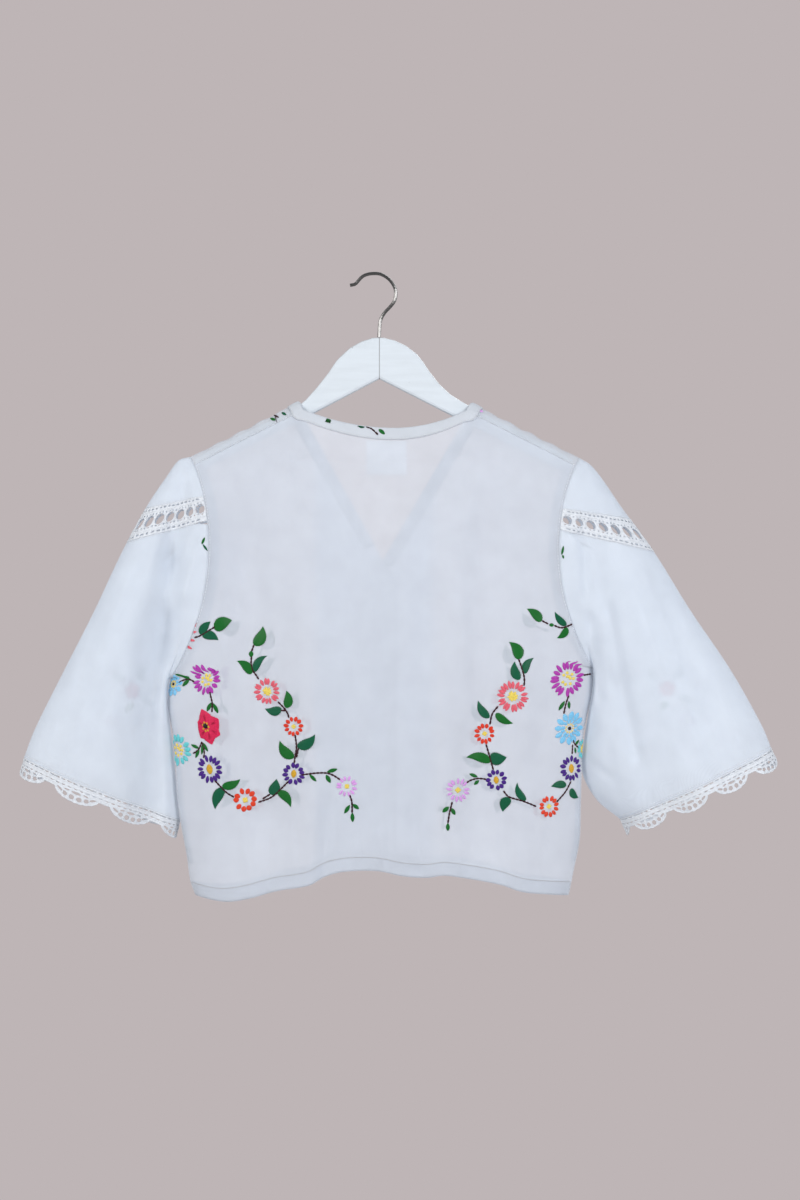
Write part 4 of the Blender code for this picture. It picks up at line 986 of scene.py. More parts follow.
# %% Insertion bands
for side in ("left", "right"):
    surface, length = band_surface(side), INSERT_LENGTH[side]
    diamonds, small, slots = band_holes(length)
    small = [hole for hole in small if 3 < hole[0] < length - 3]
    slots = [hole for hole in slots if 4 < hole[0] < length - 4]
    u, v = np.meshgrid(np.linspace(0.3, length - 0.3, int(length / 0.72)),
                       np.linspace(-0.4, BAND_WIDTH + 0.4, 34))
    band = holed_sheet(f"lace_insert_{side}_ground", surface, u, v, diamonds + small + slots,
                       lace_yarn, (f"lace_insert_{side}",))
    threads = Bundle()

    def lay(line_u, line_v, radius, closed=False, lift=0.35):
        here, out = surface_frame(surface, line_u, line_v)
        flip = np.sign(here[:, 1] - (5 if side == "left" else 2)) * np.sign(out[:, 1])
        out = out * np.where(np.abs(out[:, 1]) > 0.15, flip, 1)[:, None]
        thread(threads, here + out * lift, out, radius, closed=closed)

    for hole in diamonds:
        lay(*hole_outline(hole, 0.5), 0.5, True)
    for edge, radius in ((0.1, 0.6), (3.9, 0.5), (BAND_WIDTH - 3.9, 0.5), (BAND_WIDTH - 0.1, 0.6)):
        line = np.linspace(1.0, length - 1.0, int(length / 2.4))
        lay(line, np.full_like(line, edge), radius)
    for sign in (-1, 1):
        line = np.linspace(2, length - 2, int(length / 1.5))
        wave = BAND_MIDDLE + sign * (7.0 + 0.5 * np.abs(np.cos(np.pi * line / (length / INSERT_CELLS))))
        lay(line, wave, 0.4)
    threads.tie(f"lace_insert_{side}_threads", [lace_yarn], "white_crochet_lace")
    print(side, "band:", len(diamonds), "diamonds,", len(slots), "slots")

# %% [markdown]
# The cuff's edging hangs below the cloth. Two ladders run along its top. Below them each
# scallop is a fan: a wide hole with a narrower one on each side, then six holes in an
# arc, and a thick bumpy rim. Between two fans the edging is only half as deep. The
# right cuff has more and narrower scallops than the left, as in the photograph.

# %% Shape and holes of a cuff's edging
def cuff_surface(side):
    """A cuff's edging: u runs round the cuff from its top line over the back, v down."""
    turn = np.linspace(-np.pi, np.pi, 2401)
    ring = sleeve_surface(side, turn, np.ones_like(turn))
    run = lengths_along(ring)
    run -= run[1200]
    low, high = run[0], run[-1]
    hang_x, hang_z = HANG[side]

    def surface(u, v):
        angle = np.interp(low + np.mod(u - low, high - low), run, turn)
        top = sleeve_surface(side, angle, np.ones_like(angle))
        ripple = 0.9 * np.sin(u * 2 * np.pi / 31.0 + 0.8) + 0.5 * np.sin(u * 2 * np.pi / 17.0)
        away = np.stack([0 * u, np.sign(angle) * -1.0, 0 * u], -1) * np.abs(np.sin(angle))[..., None]
        return (top + np.stack([hang_x * v, 0 * v, hang_z * v], -1)
                + away * (ripple * np.clip(v / EDGING_DROP, 0, 1) ** 1.5)[..., None])

    return surface, low, high


def cuff_drop(side, u, pitch):
    """How deep the edging hangs: a fan with a bumpy rim, then a shallow stretch."""
    off = (np.mod(u / pitch - FIRST_VALLEY[side], 1.0) - 0.5) * pitch
    fan = np.sqrt(np.clip(1 - (off / (0.39 * pitch)) ** 2, 0, 1)) ** 1.15
    bumps = 0.5 * np.abs(np.cos(np.pi * off / 6.1)) * ease((0.36 * pitch - np.abs(off)) / 3)
    return EDGING_DROP * mix(SCALLOP_VALLEY, 0.97, fan) + bumps


def cuff_holes(side, low, high, pitch):
    slots, fans = [], []
    count = int((high - low) / 6.9)
    for k in range(count):
        at = low + (k + 0.5) * (high - low) / count
        long = 2.6 + 0.25 * math.sin(k * 2.1)
        slots.append((at, 0.9, long, 0.6, 0.0, 2.8))
        slots.append((at + 1.6, 6.0, long - 0.5, 0.5 + 0.12 * math.sin(k * 1.3), 0.0, 2.6))
    first = math.ceil(low / pitch - FIRST_VALLEY[side] - 0.5)
    wide = 0.39 * pitch / 18
    for scallop in range(first, first + SCALLOPS[side]):
        middle = (FIRST_VALLEY[side] + scallop + 0.5) * pitch
        fans.append((middle, 9.4, 3.9 * wide, 1.3, 0.0, 2.3))
        fans.append((middle - 7.9 * wide, 9.0, 2.2 * wide, 0.8, -0.12, 2.2))
        fans.append((middle + 7.9 * wide, 9.0, 2.2 * wide, 0.8, 0.12, 2.2))
        for k, (off, drop, half_u, half_v, tilt) in enumerate((
                (-13.6, 10.9, 2.7, 1.15, 0.5), (-8.8, 13.5, 2.05, 2.1, 0.35), (-3.0, 14.7, 2.2, 2.45, 0.1),
                (3.2, 14.7, 2.2, 2.4, -0.1), (9.0, 13.4, 2.05, 2.05, -0.35), (13.7, 10.8, 2.7, 1.1, -0.5))):
            fans.append((middle + off * wide, drop, half_u * wide, half_v, tilt / wide, 2.2))
    return slots, fans


print("holes in a fan: 9")

# %% Cuff edgings
for side in ("left", "right"):
    surface, low, high = cuff_surface(side)
    pitch = (high - low) / SCALLOPS[side]
    slots, fans = cuff_holes(side, low, high, pitch)
    columns = int((high - low) / 0.8)
    u = low + np.arange(columns) * (high - low) / columns
    u = np.broadcast_to(u, (29, columns))
    v = np.linspace(0, 1, 29)[:, None] * (cuff_drop(side, u, pitch) + 0.6) - 0.6
    edging = holed_sheet(f"cuff_lace_{side}_ground", surface, u, v, slots + fans, lace_yarn,
                         (f"cuff_lace_{side}_back", f"cuff_lace_{side}_front"),
                         closed=True, wrap=high - low)
    threads = Bundle()

    def lay(line_u, line_v, radius, closed=False, lift=0.3):
        here, out = surface_frame(surface, line_u, line_v)
        turned = np.mod(line_u - low, high - low) + low
        facing = np.where(turned > 0, -1.0, 1.0)
        out = out * (np.sign(np.median(out[:, 1]) or 1) * np.sign(np.median(facing)))
        thread(threads, here + out * lift, out, radius, closed=closed)

    for hole in fans:
        lay(*hole_outline(hole, 0.45), 0.5, True)
    marks = np.linspace(low, high, int((high - low) / 1.6))
    halves = (marks[marks <= 0], marks[marks >= 0])
    for half in halves:
        for depth, radius in ((-0.5, 0.5), (2.3, 0.5), (4.9, 0.4), (7.4, 0.4)):
            lay(half, np.full_like(half, depth), radius)
        rim = np.linspace(half[0], half[-1], 2 * len(half))
        lay(rim, cuff_drop(side, rim, pitch) - 0.6, 0.8)
    threads.tie(f"cuff_lace_{side}_threads", [lace_yarn], "white_crochet_lace")
    print(side, "cuff:", round(high - low), "mm round,", len(fans), "holes in the fans")

# %% [markdown]
# ## Laying things on the cloth
#
# Stitches, labels and flowers have to follow the cloth under them. `Drape` looks at a
# panel square on, finds the cloth behind each place of the view and gives its point and
# its direction outwards. Beside the side seams that view is too slanting, so there
# `SideWrap` walks round the seam on the cloth itself: `s` millimetres towards the back
# (or the front, where s is negative) and down to a height z.

# %% Draping tools
class Drape:
    """A panel as seen square on from the back (facing -1) or from the front (facing 1)."""

    def __init__(self, grids, facing):
        points, faces, count = [], [], 0
        for grid in grids:
            points.append(grid.reshape(-1, 3))
            faces.append(grid_quads(*grid.shape[:2]) + count)
            count += grid.shape[0] * grid.shape[1]
        self.tree = BVHTree.FromPolygons(np.concatenate(points).tolist(), np.concatenate(faces).tolist())
        self.facing = facing

    def lay(self, x, z):
        """The cloth's points and outward directions at places of the view."""
        x, z = np.broadcast_arrays(np.asarray(x, float), np.asarray(z, float))
        points, out = np.empty((x.size, 3)), np.empty((x.size, 3))
        ray = Vector((0, -self.facing, 0))
        for k, (px, pz) in enumerate(zip(x.ravel(), z.ravel())):
            spot, normal, _, _ = self.tree.ray_cast(Vector((px, 200 * self.facing, pz)), ray)
            if spot is None:
                spot, normal, _, _ = self.tree.find_nearest(Vector((px, 25 * self.facing, pz)))
            points[k], out[k] = spot, normal
        out *= np.where(out[:, 1:2] * self.facing < 0, -1, 1)
        return points.reshape(*x.shape, 3), out.reshape(*x.shape, 3)


back_drape = Drape([back_grid], -1)
front_drape = Drape([front_grids["left"], front_grids["right"]], 1)
sleeve_drapes = {(side, facing): Drape([np.concatenate([grid, grid[:, :1]], axis=1)], facing)
                 for side, grid in sleeve_grids.items() for facing in (-1, 1)}
print("drapes:", 2 + len(sleeve_drapes))


# %% Side wraps
BACK_FROM = {"left": back_grid, "right": back_grid[:, ::-1]}


class SideWrap:
    """The cloth round a side seam, unrolled."""

    def __init__(self, side):
        front = front_grids[side][len(FLAP_ANGLES) - 1:]
        self.s = np.arange(-110.0, 110.5, 1.0)
        rows = []
        for back_row, front_row in zip(BACK_FROM[side], front):
            line = np.concatenate([front_row[:60][::-1], back_row[1:100]])
            run = lengths_along(line)
            run -= run[59]
            rows.append(points_at(self.s, run, line))
        self.grid = np.array(rows)

    def at(self, s, row):
        c = np.clip(s - self.s[0], 0, len(self.s) - 1.001)
        r = np.clip(row, 0, len(self.grid) - 1.001)
        c0, r0 = c.astype(int), r.astype(int)
        fc, fr = (c - c0)[..., None], (r - r0)[..., None]
        g = self.grid
        return mix(mix(g[r0, c0], g[r0, c0 + 1], fc), mix(g[r0 + 1, c0], g[r0 + 1, c0 + 1], fc), fr)

    def lay(self, s, z):
        s, z = np.broadcast_arrays(np.asarray(s, float), np.asarray(z, float))
        row = np.interp(-z, -self.grid[:, 110, 2], np.arange(len(self.grid)))
        for _ in range(4):
            here, beyond = self.at(s, row), self.at(s, row + 1)
            step = here[..., 2] - beyond[..., 2]
            row = row + np.clip((here[..., 2] - z) / np.where(np.abs(step) < 0.3, 0.3, step), -12, 12)
        here = self.at(s, row)
        by_s = self.at(s + 1.5, row) - self.at(s - 1.5, row)
        by_row = self.at(s, row + 1) - self.at(s, row - 1)
        out = unit(np.cross(by_s, by_row))
        wanted = here - np.array([0.8 * here[..., 0].mean(), 0, 0])
        flip = np.sign((out * np.stack([wanted[..., 0], here[..., 1], 0 * s], -1)).sum(-1).mean()) or 1
        return here, out * flip

    def s_of(self, x, z, facing):
        """How far from the seam a place of the view lies, less than 0 on the front."""
        trial = -facing * np.arange(0.0, 100.0, 1.0)
        here, _ = self.lay(trial, np.full_like(trial, z))
        return float(np.interp(abs(x), np.abs(here[::-1, 0]), trial[::-1]))


wraps = {side: SideWrap(side) for side in ("left", "right")}
print("label's place on the back:", np.round(back_drape.lay(8.0, -192.5)[0], 1))

# %% [markdown]
# ## Sewing
#
# A row of machine stitches is a line of short threads with a small gap between them.
# One stitch is modelled once, as a thin spindle that dips at both ends, and is then
# copied along each seam in the direction of the cloth.

# %% Stitches
def spindle(sides=5):
    """One stitch: length 1 along x, half-width 1 across."""
    rows = ((-0.5, 0.35), (-0.3, 0.95), (0.3, 0.95), (0.5, 0.35))
    turn = np.linspace(0, 2 * np.pi, sides, endpoint=False)
    points = [(x, r * math.cos(t), r * math.sin(t)) for x, r in rows for t in turn]
    faces = grid_quads(4, sides, True).tolist()
    return np.array(points), faces + [list(range(sides))[::-1], list(range(3 * sides, 4 * sides))]


STITCH, STITCH_FACES = spindle()


def stitch_row(bundle, line, out, pitch=3.0, gap=0.7, radius=0.28, lift=0.35, mark=0):
    run = lengths_along(line)
    count = max(int(run[-1] / pitch), 1)
    at = (np.arange(count) + 0.5) * run[-1] / count
    middle = points_at(at, run, line)
    ahead = unit(points_at(at + 0.5, run, line) - points_at(at - 0.5, run, line))
    up = unit(points_at(at, run, out))
    beside = unit(np.cross(up, ahead))
    length = run[-1] / count - gap
    points = (middle[:, None] + up[:, None] * lift + ahead[:, None] * (STITCH[None, :, :1] * length)
              + beside[:, None] * (STITCH[None, :, 1:2] * radius)
              + up[:, None] * (STITCH[None, :, 2:] * radius))
    for stitch in points:
        bundle.add(stitch, STITCH_FACES, mark)


def thread_colour(name, colour, roughness=0.45):
    """Cotton embroidery thread: a soft sheen and a slight unevenness of the dye."""
    new = Finish(bpy.data.materials.new(name))
    uneven = new.add("TexNoise", {"Scale": 900.0, "Detail": 3.0, "Vector": new.place()})
    tone = new.ramp(uneven, 0.3, shade(colour, 0.72), 0.65, colour)
    bump = new.add("Bump", {"Strength": 0.35, "Distance": 0.0003, "Height": uneven})
    return new.done(new.add("BsdfPrincipled", {
        "Roughness": roughness, "Specular IOR Level": 0.2, "Sheen Weight": 0.03,
        "Base Color": tone, "Normal": bump}))


white_thread = thread_colour("white_sewing_thread", (0.78, 0.80, 0.84), 0.6)
hem_thread = thread_colour("beige_hem_thread", (0.44, 0.40, 0.38), 0.6)
print("one stitch has", len(STITCH_FACES), "faces")

# %% [markdown]
# The hem is 14 mm of cloth turned up inside and held by one row of thread that shows as
# fine dots. Inside each armhole and side seam lies a narrow allowance, which
# shows through the thin cloth as a lighter strip.

# %% Hem and seam allowances
HEM_DEEP = 14.0
ALLOWANCE_WIDTH = 9.0


def grid_normals(grid, facing):
    """Directions out of a grid of points, towards the back (-1) or the front (1)."""
    out = unit(np.cross(np.gradient(grid, axis=1), np.gradient(grid, axis=0)))
    return out * np.where(out[..., 1:2] * facing < 0, -1, 1)


def hem_band(name, grid, facing):
    """The turned-up cloth inside a panel's lower edge, sewn with a row of stitches."""
    low = grid[-14:]
    height = grid[-1, :, 2] + HEM_DEEP
    rows = []
    for f in np.linspace(0, 1, 6):
        z = mix(height, grid[-1, :, 2], f)
        rows.append([[np.interp(-zz, -low[:, c, 2], low[:, c, k]) for k in range(3)]
                     for c, zz in enumerate(z)])
    band = np.array(rows)
    out = grid_normals(band, facing)
    inner = band - out * 1.0
    inner[-1] = band[-1] - out[-1] * 0.55
    inner[0] += out[0] * 0.25
    stitch_row(sewing, band[0, 2:-2], out[0, 2:-2], 2.6, 1.0, 0.34, 0.3, 1)
    return cloth(name, inner[:, 1:-1], trim_cotton, thick=0.5)


sewing = Bundle()
hem_band("hem_back", back_grid, -1)
for side in ("left", "right"):
    hem = hem_band(f"hem_front_{side}", front_grids[side], 1)


def allowance(name, strip, facing):
    """A strip of cloth inside a panel's edge."""
    inner = strip - grid_normals(strip, facing) * 0.95
    cloth(name, inner, trim_cotton, thick=0.35)


def narrow(grid, millimetres, columns=6):
    """The part of a grid within a distance of its first column."""
    rows = []
    for line in grid:
        run = lengths_along(line)
        at = np.linspace(0.6, millimetres, columns)
        rows.append(points_at(at, run, line))
    return np.array(rows)


for side in ("left", "right"):
    allowance(f"seam_allowance_back_{side}", narrow(BACK_FROM[side][2:-14], ALLOWANCE_WIDTH), -1)
    below = front_grids[side][len(FLAP_ANGLES) + 1:-14]
    allowance(f"seam_allowance_front_{side}", narrow(below, ALLOWANCE_WIDTH), 1)
print("hem stitches:", len(sewing.points))

# %% [markdown]
# Rows of stitches: beside each shoulder seam, round each armhole, down each side seam,
# and along both edges of the crochet bands and cuffs.

# %% Seam stitches
SEAM_OFFSET = 1.6  # how far a row of stitches runs beside its seam


def offset_line(grid, millimetres, facing):
    """A line over a grid, a distance from its first column, and its outward directions."""
    line = narrow(grid, millimetres, 3)
    return line[:, 2], grid_normals(line, facing)[:, 2]


def away_from(angles, side, sideways=1.0, up=0.0):
    """Directions out of a sleeve at angles round it."""
    top = np.cos(angles)
    return unit(np.stack([top * sideways * (-1 if side == "left" else 1),
                          -np.sign(angles) * np.abs(np.sin(angles)), top * up], -1))


for side in ("left", "right"):
    stitch_row(sewing, *offset_line(BACK_FROM[side][1:-1], SEAM_OFFSET, -1), 3.2)
    below = front_grids[side][len(FLAP_ANGLES):-1]
    stitch_row(sewing, *offset_line(below, SEAM_OFFSET, 1), 3.2)
    seam = front_grids[side][1]
    out = grid_normals(front_grids[side][:3], -1)[1]
    stitch_row(sewing, seam[1:-6], out[1:-6], 3.0)
    turn = np.linspace(-np.pi, np.pi, 500)
    cuff = sleeve_surface(side, turn, np.full_like(turn, 0.988))
    stitch_row(sewing, cuff, away_from(turn, side), 3.0)
    for edge, nudge in ((0, -0.006), (1, 0.006)):
        angles, shares = INSERT_LINES[side][edge][12:-12:4].T
        line = sleeve_surface(side, angles, np.maximum(shares + nudge, 0))
        stitch_row(sewing, line, away_from(angles, side, 0.6, 0.7), 3.0)
for side, inner in (("left", 0.975), ("right", 0.975), ("right", 0.86), ("left", 0.86)):
    rows = V_ROWS[V_ROWS > 0.33]
    line = front_surface(side, np.full_like(rows, inner), rows)
    out = np.tile([0.0, 1.0, 0.0], (len(rows), 1))
    stitch_row(sewing, line[:-1], out[:-1], 3.0)
print("stitches:", len(sewing.points))

# %% [markdown]
# ## Binding, label and buttons
#
# The neck is bound with a straight strip of the same cotton, folded over the raw edge
# and sewn down, so it is thicker than the cloth and catches more light. It runs up the
# left edge of the V, round the back of the neck and down the right edge.

# %% Course of the binding
def binding_rungs():
    """Where the strip lies: for each step its place on the neck edge and its inner edge."""
    edges, inners = [], []

    def leg(side):
        end_z = LEFT_BINDING_END_Z if side == "left" else RIGHT_BINDING_END_Z
        for angle in np.linspace(-SEAM_ANGLE * 0.86, SEAM_ANGLE, 22)[:-1]:
            yield (flap_surface(side, np.array(1.0), np.array(angle)),
                   flap_surface(side, np.array(0.9), np.array(angle)))
        for v in V_ROWS:
            edge = front_surface(side, np.array(1.0), np.array(v))
            if edge[2] < end_z:
                return
            yield edge, front_surface(side, np.array(0.9), np.array(v))

    def add_leg(side, backwards):
        rungs = list(leg(side))
        for edge, beside in rungs[::-1] if backwards else rungs:
            edges.append(edge)
            inners.append(edge + unit(beside - edge) * BINDING_WIDTH)

    def corner(side, backwards):
        sign = -1 if side == "left" else 1
        spot = back_surface(np.array(NECK_ACROSS[side]), np.array(0.0))
        turns = np.radians(np.linspace(34, 78, 9))
        for turn in turns[::-1] if backwards else turns:
            edges.append(spot)
            inners.append(back_drape.lay(spot[0] + sign * math.cos(turn) * BINDING_WIDTH,
                                         spot[2] - math.sin(turn) * BINDING_WIDTH)[0])

    add_leg("left", True)
    corner("left", False)
    share_rows = panel_share(V_ROWS)
    for across in np.linspace(NECK_ACROSS["left"], NECK_ACROSS["right"], 70):
        top = back_surface(np.array(across), np.array(0.0))
        low = back_surface(np.array(across), np.array(1.0))
        v = np.interp(BINDING_WIDTH / (top[2] - low[2]), share_rows, V_ROWS)
        edges.append(top)
        inners.append(back_surface(np.array(across), v))
    corner("right", True)
    add_leg("right", False)
    return np.array(edges), np.array(inners)


edges, inners = binding_rungs()
print("binding follows", len(edges), "places of the neck")

# %% Neck binding
inward = unit(inners - edges)
ahead = np.gradient((edges + inners) / 2, axis=0)
out = unit(np.cross(ahead, inward))
middle = len(out) // 2
out *= -np.sign(out[middle, 1])
for _ in range(3):
    out[1:-1] = unit(out[:-2] + 2 * out[1:-1] + out[2:])
    inward[1:-1] = unit(inward[:-2] + 2 * inward[1:-1] + inward[2:])
# The strip's section: how deep it reaches from the neck edge and how far it stands out
FOLDED_STRIP = ((12.1, 0.45), (11.9, 0.95), (9.0, 1.2), (5.0, 1.3), (1.4, 1.2), (-0.2, 0.9),
                (-0.8, 0.1), (-0.3, -0.75), (1.5, -1.1), (6.0, -1.15), (10.5, -1.1), (11.2, -0.6))
pucker = 0.12 * np.sin(np.arange(len(edges)) * 1.7) + 0.08 * np.sin(np.arange(len(edges)) * 0.61)
strip = np.stack([edges + inward * deep + out * (lift + pucker * (2 < deep < 11))[:, None]
                  for deep, lift in FOLDED_STRIP])
binding = cloth("neck_binding_cloth", strip, trim_cotton, thick=0.45, stands_for=("neck_binding",))
binding_length = float(lengths_along(edges)[-1])
stitch_row(sewing, edges[3:-3] + inward[3:-3] * 10.7, out[3:-3], 2.8, 0.7, 0.28, 1.25)
print("binding:", round(binding_length), "mm long")

# %% Label
label_x = np.linspace(-0.5, 0.5, 23) * LABEL_SIZE[0] + LABEL_CENTRE[0]
label_z = np.linspace(0.5, -0.5, 19) * LABEL_SIZE[1] + LABEL_CENTRE[1]
label_points, label_out = back_drape.lay(*np.meshgrid(label_x, label_z))
label_points = label_points - label_out * 1.3
label_points[..., 1] += 0.4 * np.cos(np.linspace(-1.4, 1.4, 19))[:, None]
label_tape = cotton_cloth("blank_label_tape", (0.95, 0.965, 0.98), 0.0, 0.05)
label = cloth("blank_label", label_points, label_tape, thick=0.5,
              stands_for=("label",))
for row in (1, -2):
    stitch_row(sewing, label_points[row], label_out[row] * -1, 2.6, 0.7, 0.25, 0.4)
print("label is blank,", LABEL_SIZE, "mm")

# %% [markdown]
# The five buttons are flat discs with a raised rim and four holes, sewn on with a cross
# of thread. They sit on the front that laps over the other.

# %% Button finish
def button_plastic():
    new = Finish(bpy.data.materials.new("pearly_button_plastic"))
    cloud = new.add("TexNoise", {"Scale": 160.0, "Distortion": 1.5, "Vector": new.place()})
    tone = new.ramp(cloud, 0.0, (0.70, 0.72, 0.76), 1.0, (0.84, 0.86, 0.88))
    return new.done(new.add("BsdfPrincipled", {"Roughness": 0.22, "Coat Weight": 0.3, "Base Color": tone}))


button_finish = button_plastic()
print("button finish:", button_finish.name)

# %% Button discs
HOLE_RADIUS = 0.7
HOLE_OFF = 1.3  # how far a hole's middle lies from the button's, both ways
CORNERS = [(HOLE_OFF * a, HOLE_OFF * b) for a, b in ((1, 1), (-1, 1), (-1, -1), (1, -1))]
for number, z in enumerate(BUTTON_Z, start=1):
    spot, face = front_drape.lay(np.array([FRONT_CENTRE]), np.array([z]))
    spot, face = spot[0], face[0]
    right = unit(np.array([1.0, 0, 0]) - face * face[0])
    up = np.cross(face, right)
    radius = BUTTON_DIAMETER / 2
    rings = np.array([0.0, 0.35, 0.8, 1.1, 1.4, 1.8, 2.2, 2.6, 3.2, 4.0, 4.6, 5.1, 5.6, 6.0]) * radius / 6
    turn = np.linspace(0, 2 * np.pi, 40, endpoint=False)
    a, b = rings[:, None] * np.cos(turn), rings[:, None] * np.sin(turn)
    height = 1.7 + 0.55 * np.exp(-((rings / radius - 0.86) / 0.1) ** 2)[:, None] + 0 * a
    quads = grid_quads(len(rings), 40, True)
    cut = np.zeros(len(quads), bool)
    for hole_a, hole_b in CORNERS:
        far = np.hypot(a - hole_a, b - hole_b)
        near = np.abs(far - HOLE_RADIUS) < 0.24
        scale = np.where(near, HOLE_RADIUS / np.maximum(far, 0.1), 1)
        a, b = hole_a + (a - hole_a) * scale, hole_b + (b - hole_b) * scale
        middle_a, middle_b = a.ravel()[quads].mean(1), b.ravel()[quads].mean(1)
        cut |= np.hypot(middle_a - hole_a, middle_b - hole_b) < 0.97 * HOLE_RADIUS
    points = spot + right * a[..., None] + up * b[..., None] + face * height[..., None]
    disc, _ = mesh_without(f"button_{number}_disc", points, quads, cut, button_finish)
    weld(disc, 0.02)
    thicken(disc, 1.3)
    soft_edge = disc.modifiers.new("rounded rim", "BEVEL")
    soft_edge.width = 0.00022
    soft_edge.segments = 2
    soft_edge.limit_method = "ANGLE"
    settle(disc, (f"button_{number}",))
    for (a0, b0), (a1, b1) in zip(CORNERS[:2], CORNERS[2:]):
        t = np.linspace(0, 1, 9)[:, None]
        line = (spot + right * mix(a0, a1, t) + up * mix(b0, b1, t)
                + face * (2.55 + 0.25 * np.sin(np.pi * t) - 0.5 * (np.abs(t - 0.5) > 0.45)))
        thread(sewing, line, np.tile(face, (9, 1)), 0.28, 6)
print("buttons:", len(BUTTON_Z))
sewing.tie("seam_stitches", [white_thread, hem_thread], "white_cotton")

# %% [markdown]
# ## The flower garlands
#
# The flowers are satin stitch: threads laid side by side until a petal is a small padded
# grain. So each petal is its own little dome with thread ridges along it, a leaf has
# ridges that slant away from its midrib, and a stem is a line of back stitches. The
# tables below only say where a flower sits, how big it is and how many petals it has.
# Every petal is then drawn by rule, with a little seeded unevenness, as by hand.

# %% Garland tables
LEAF, PINE = "leaf green", "pine green"
# x, z, half width, half height, kind, petals, colour. Millimetres on the back's view.
LEFT_FLOWERS = (
    (-179, -424, 16, 16, "seeded", 16, "magenta"),
    (-116, -436, 14, 14, "disc", 17, "coral"),
    (-88, -472, 10.5, 10.5, "small", 11, "red"),
    (-178, -473, 15.5, 18.5, "poppy", 6, "crimson"),
    (-176, -517, 14.5, 15, "oval", 15, "dark purple"),
    (-139, -549, 12.5, 12.5, "small", 10, "orange red"),
    (-88, -521, 12, 12, "oval", 12, "dark purple"),
    (-33, -534, 11.3, 11.3, "small", 12, "lilac"),
    (-210, -498, 13, 16.8, "seeded", 14, "turquoise"),
    (-215, -429, 9, 13, "loops", 10, "sky blue"),
)
RIGHT_FLOWERS = (
    (197, -423, 18, 19, "seeded", 18, "magenta"),
    (139, -441, 16.4, 16.4, "disc", 20, "coral"),
    (110, -480, 11, 11, "small", 12, "red"),
    (199, -475, 17, 17.4, "loops", 12, "sky blue"),
    (201, -517, 8.5, 13.7, "oval", 14, "dark purple"),
    (177, -556, 11.5, 11.5, "small", 12, "orange red"),
    (122, -528, 11.3, 11.3, "oval", 11, "dark purple"),
    (82, -538, 12.6, 12.6, "small", 13, "lilac"),
    (215, -497, 7, 11, "seeded", 12, "turquoise"),
)
# Leaves: foot x, z, tip x, z, width, colour
LEFT_LEAVES = (
    (-170.5, -370, -153.5, -361.5, 14, LEAF), (-185, -376, -176.5, -363.5, 9.5, PINE),
    (-183.5, -377, -166.5, -381.5, 9.5, PINE), (-128.5, -387.5, -119.5, -370, 12, LEAF),
    (-133, -400.5, -133, -394, 5.5, LEAF), (-133, -417, -146, -404, 9.5, LEAF),
    (-129.5, -415, -118, -398.5, 8, PINE), (-95, -452, -94.5, -435.5, 9.5, LEAF),
    (-101.5, -454.5, -117.5, -455.5, 9.5, PINE), (-83, -493, -65.5, -482, 11, PINE),
    (-89, -504, -103.5, -489, 11, LEAF), (-111.5, -542.5, -105.5, -528, 11.5, PINE),
    (-104, -540, -90.5, -554, 9.5, LEAF), (-162, -535, -144.5, -529, 9, LEAF),
    (-161, -537, -172.5, -557, 10.5, PINE), (-197.5, -423, -208.5, -418.5, 4.5, LEAF),
    (-197.5, -423.5, -205, -431, 5, LEAF), (-173, -447.5, -179.5, -456.5, 4.5, LEAF),
    (-172, -448.5, -167, -458.5, 4.5, LEAF), (-187, -495.5, -196, -492, 4, LEAF),
    (-186.5, -496, -191.5, -505.5, 4, LEAF), (-182.5, -490, -185, -502, 3.5, LEAF),
    (-183, -489.5, -178, -498.5, 4, LEAF), (-53.5, -519, -43, -516, 4.5, LEAF),
    (-71.5, -521.5, -64.5, -528.5, 4, LEAF), (-54.5, -522, -50, -530, 5, LEAF),
    (-30, -553.5, -35.5, -562, 4.5, LEAF), (-27, -552.5, -20.5, -557.5, 4.5, LEAF),
    (-27.5, -561.5, -27, -571, 4.5, LEAF),
)
RIGHT_LEAVES = (
    (168.5, -362.5, 155.5, -350, 9.5, LEAF), (194.5, -367, 183, -354.5, 7.5, PINE),
    (196.5, -370.5, 186.5, -381, 7.5, LEAF), (177, -367, 182.5, -367, 4, LEAF),
    (146, -401.5, 137.5, -384.5, 11.5, LEAF), (151, -416.5, 159, -401, 8, PINE),
    (145, -423, 140, -406, 9.5, PINE), (114, -463, 102.5, -447, 8.5, PINE),
    (122, -459.5, 138, -469.5, 8, LEAF), (115.5, -508.5, 92, -503, 10, LEAF),
    (116.5, -504.5, 132, -505.5, 13, PINE), (102.5, -525, 94, -521.5, 4, LEAF),
    (104, -528.5, 99, -533, 4, LEAF), (152, -548.5, 142.5, -532, 7.5, PINE),
    (135, -547, 128, -560, 10.5, PINE), (195.5, -534, 179.5, -534.5, 8, PINE),
    (199.5, -539, 209, -548.5, 8, PINE), (192.5, -446.5, 188.5, -456, 4.5, LEAF),
    (197, -446.5, 199.5, -454.5, 3.5, LEAF), (204.5, -493, 209.5, -487.5, 3.5, LEAF),
    (204.5, -495, 206, -501.5, 3, LEAF), (72.5, -555, 66, -560.5, 5, LEAF),
    (75, -556.5, 79, -563.5, 4.5, LEAF), (71.5, -572, 71.5, -580, 4.5, LEAF),
)
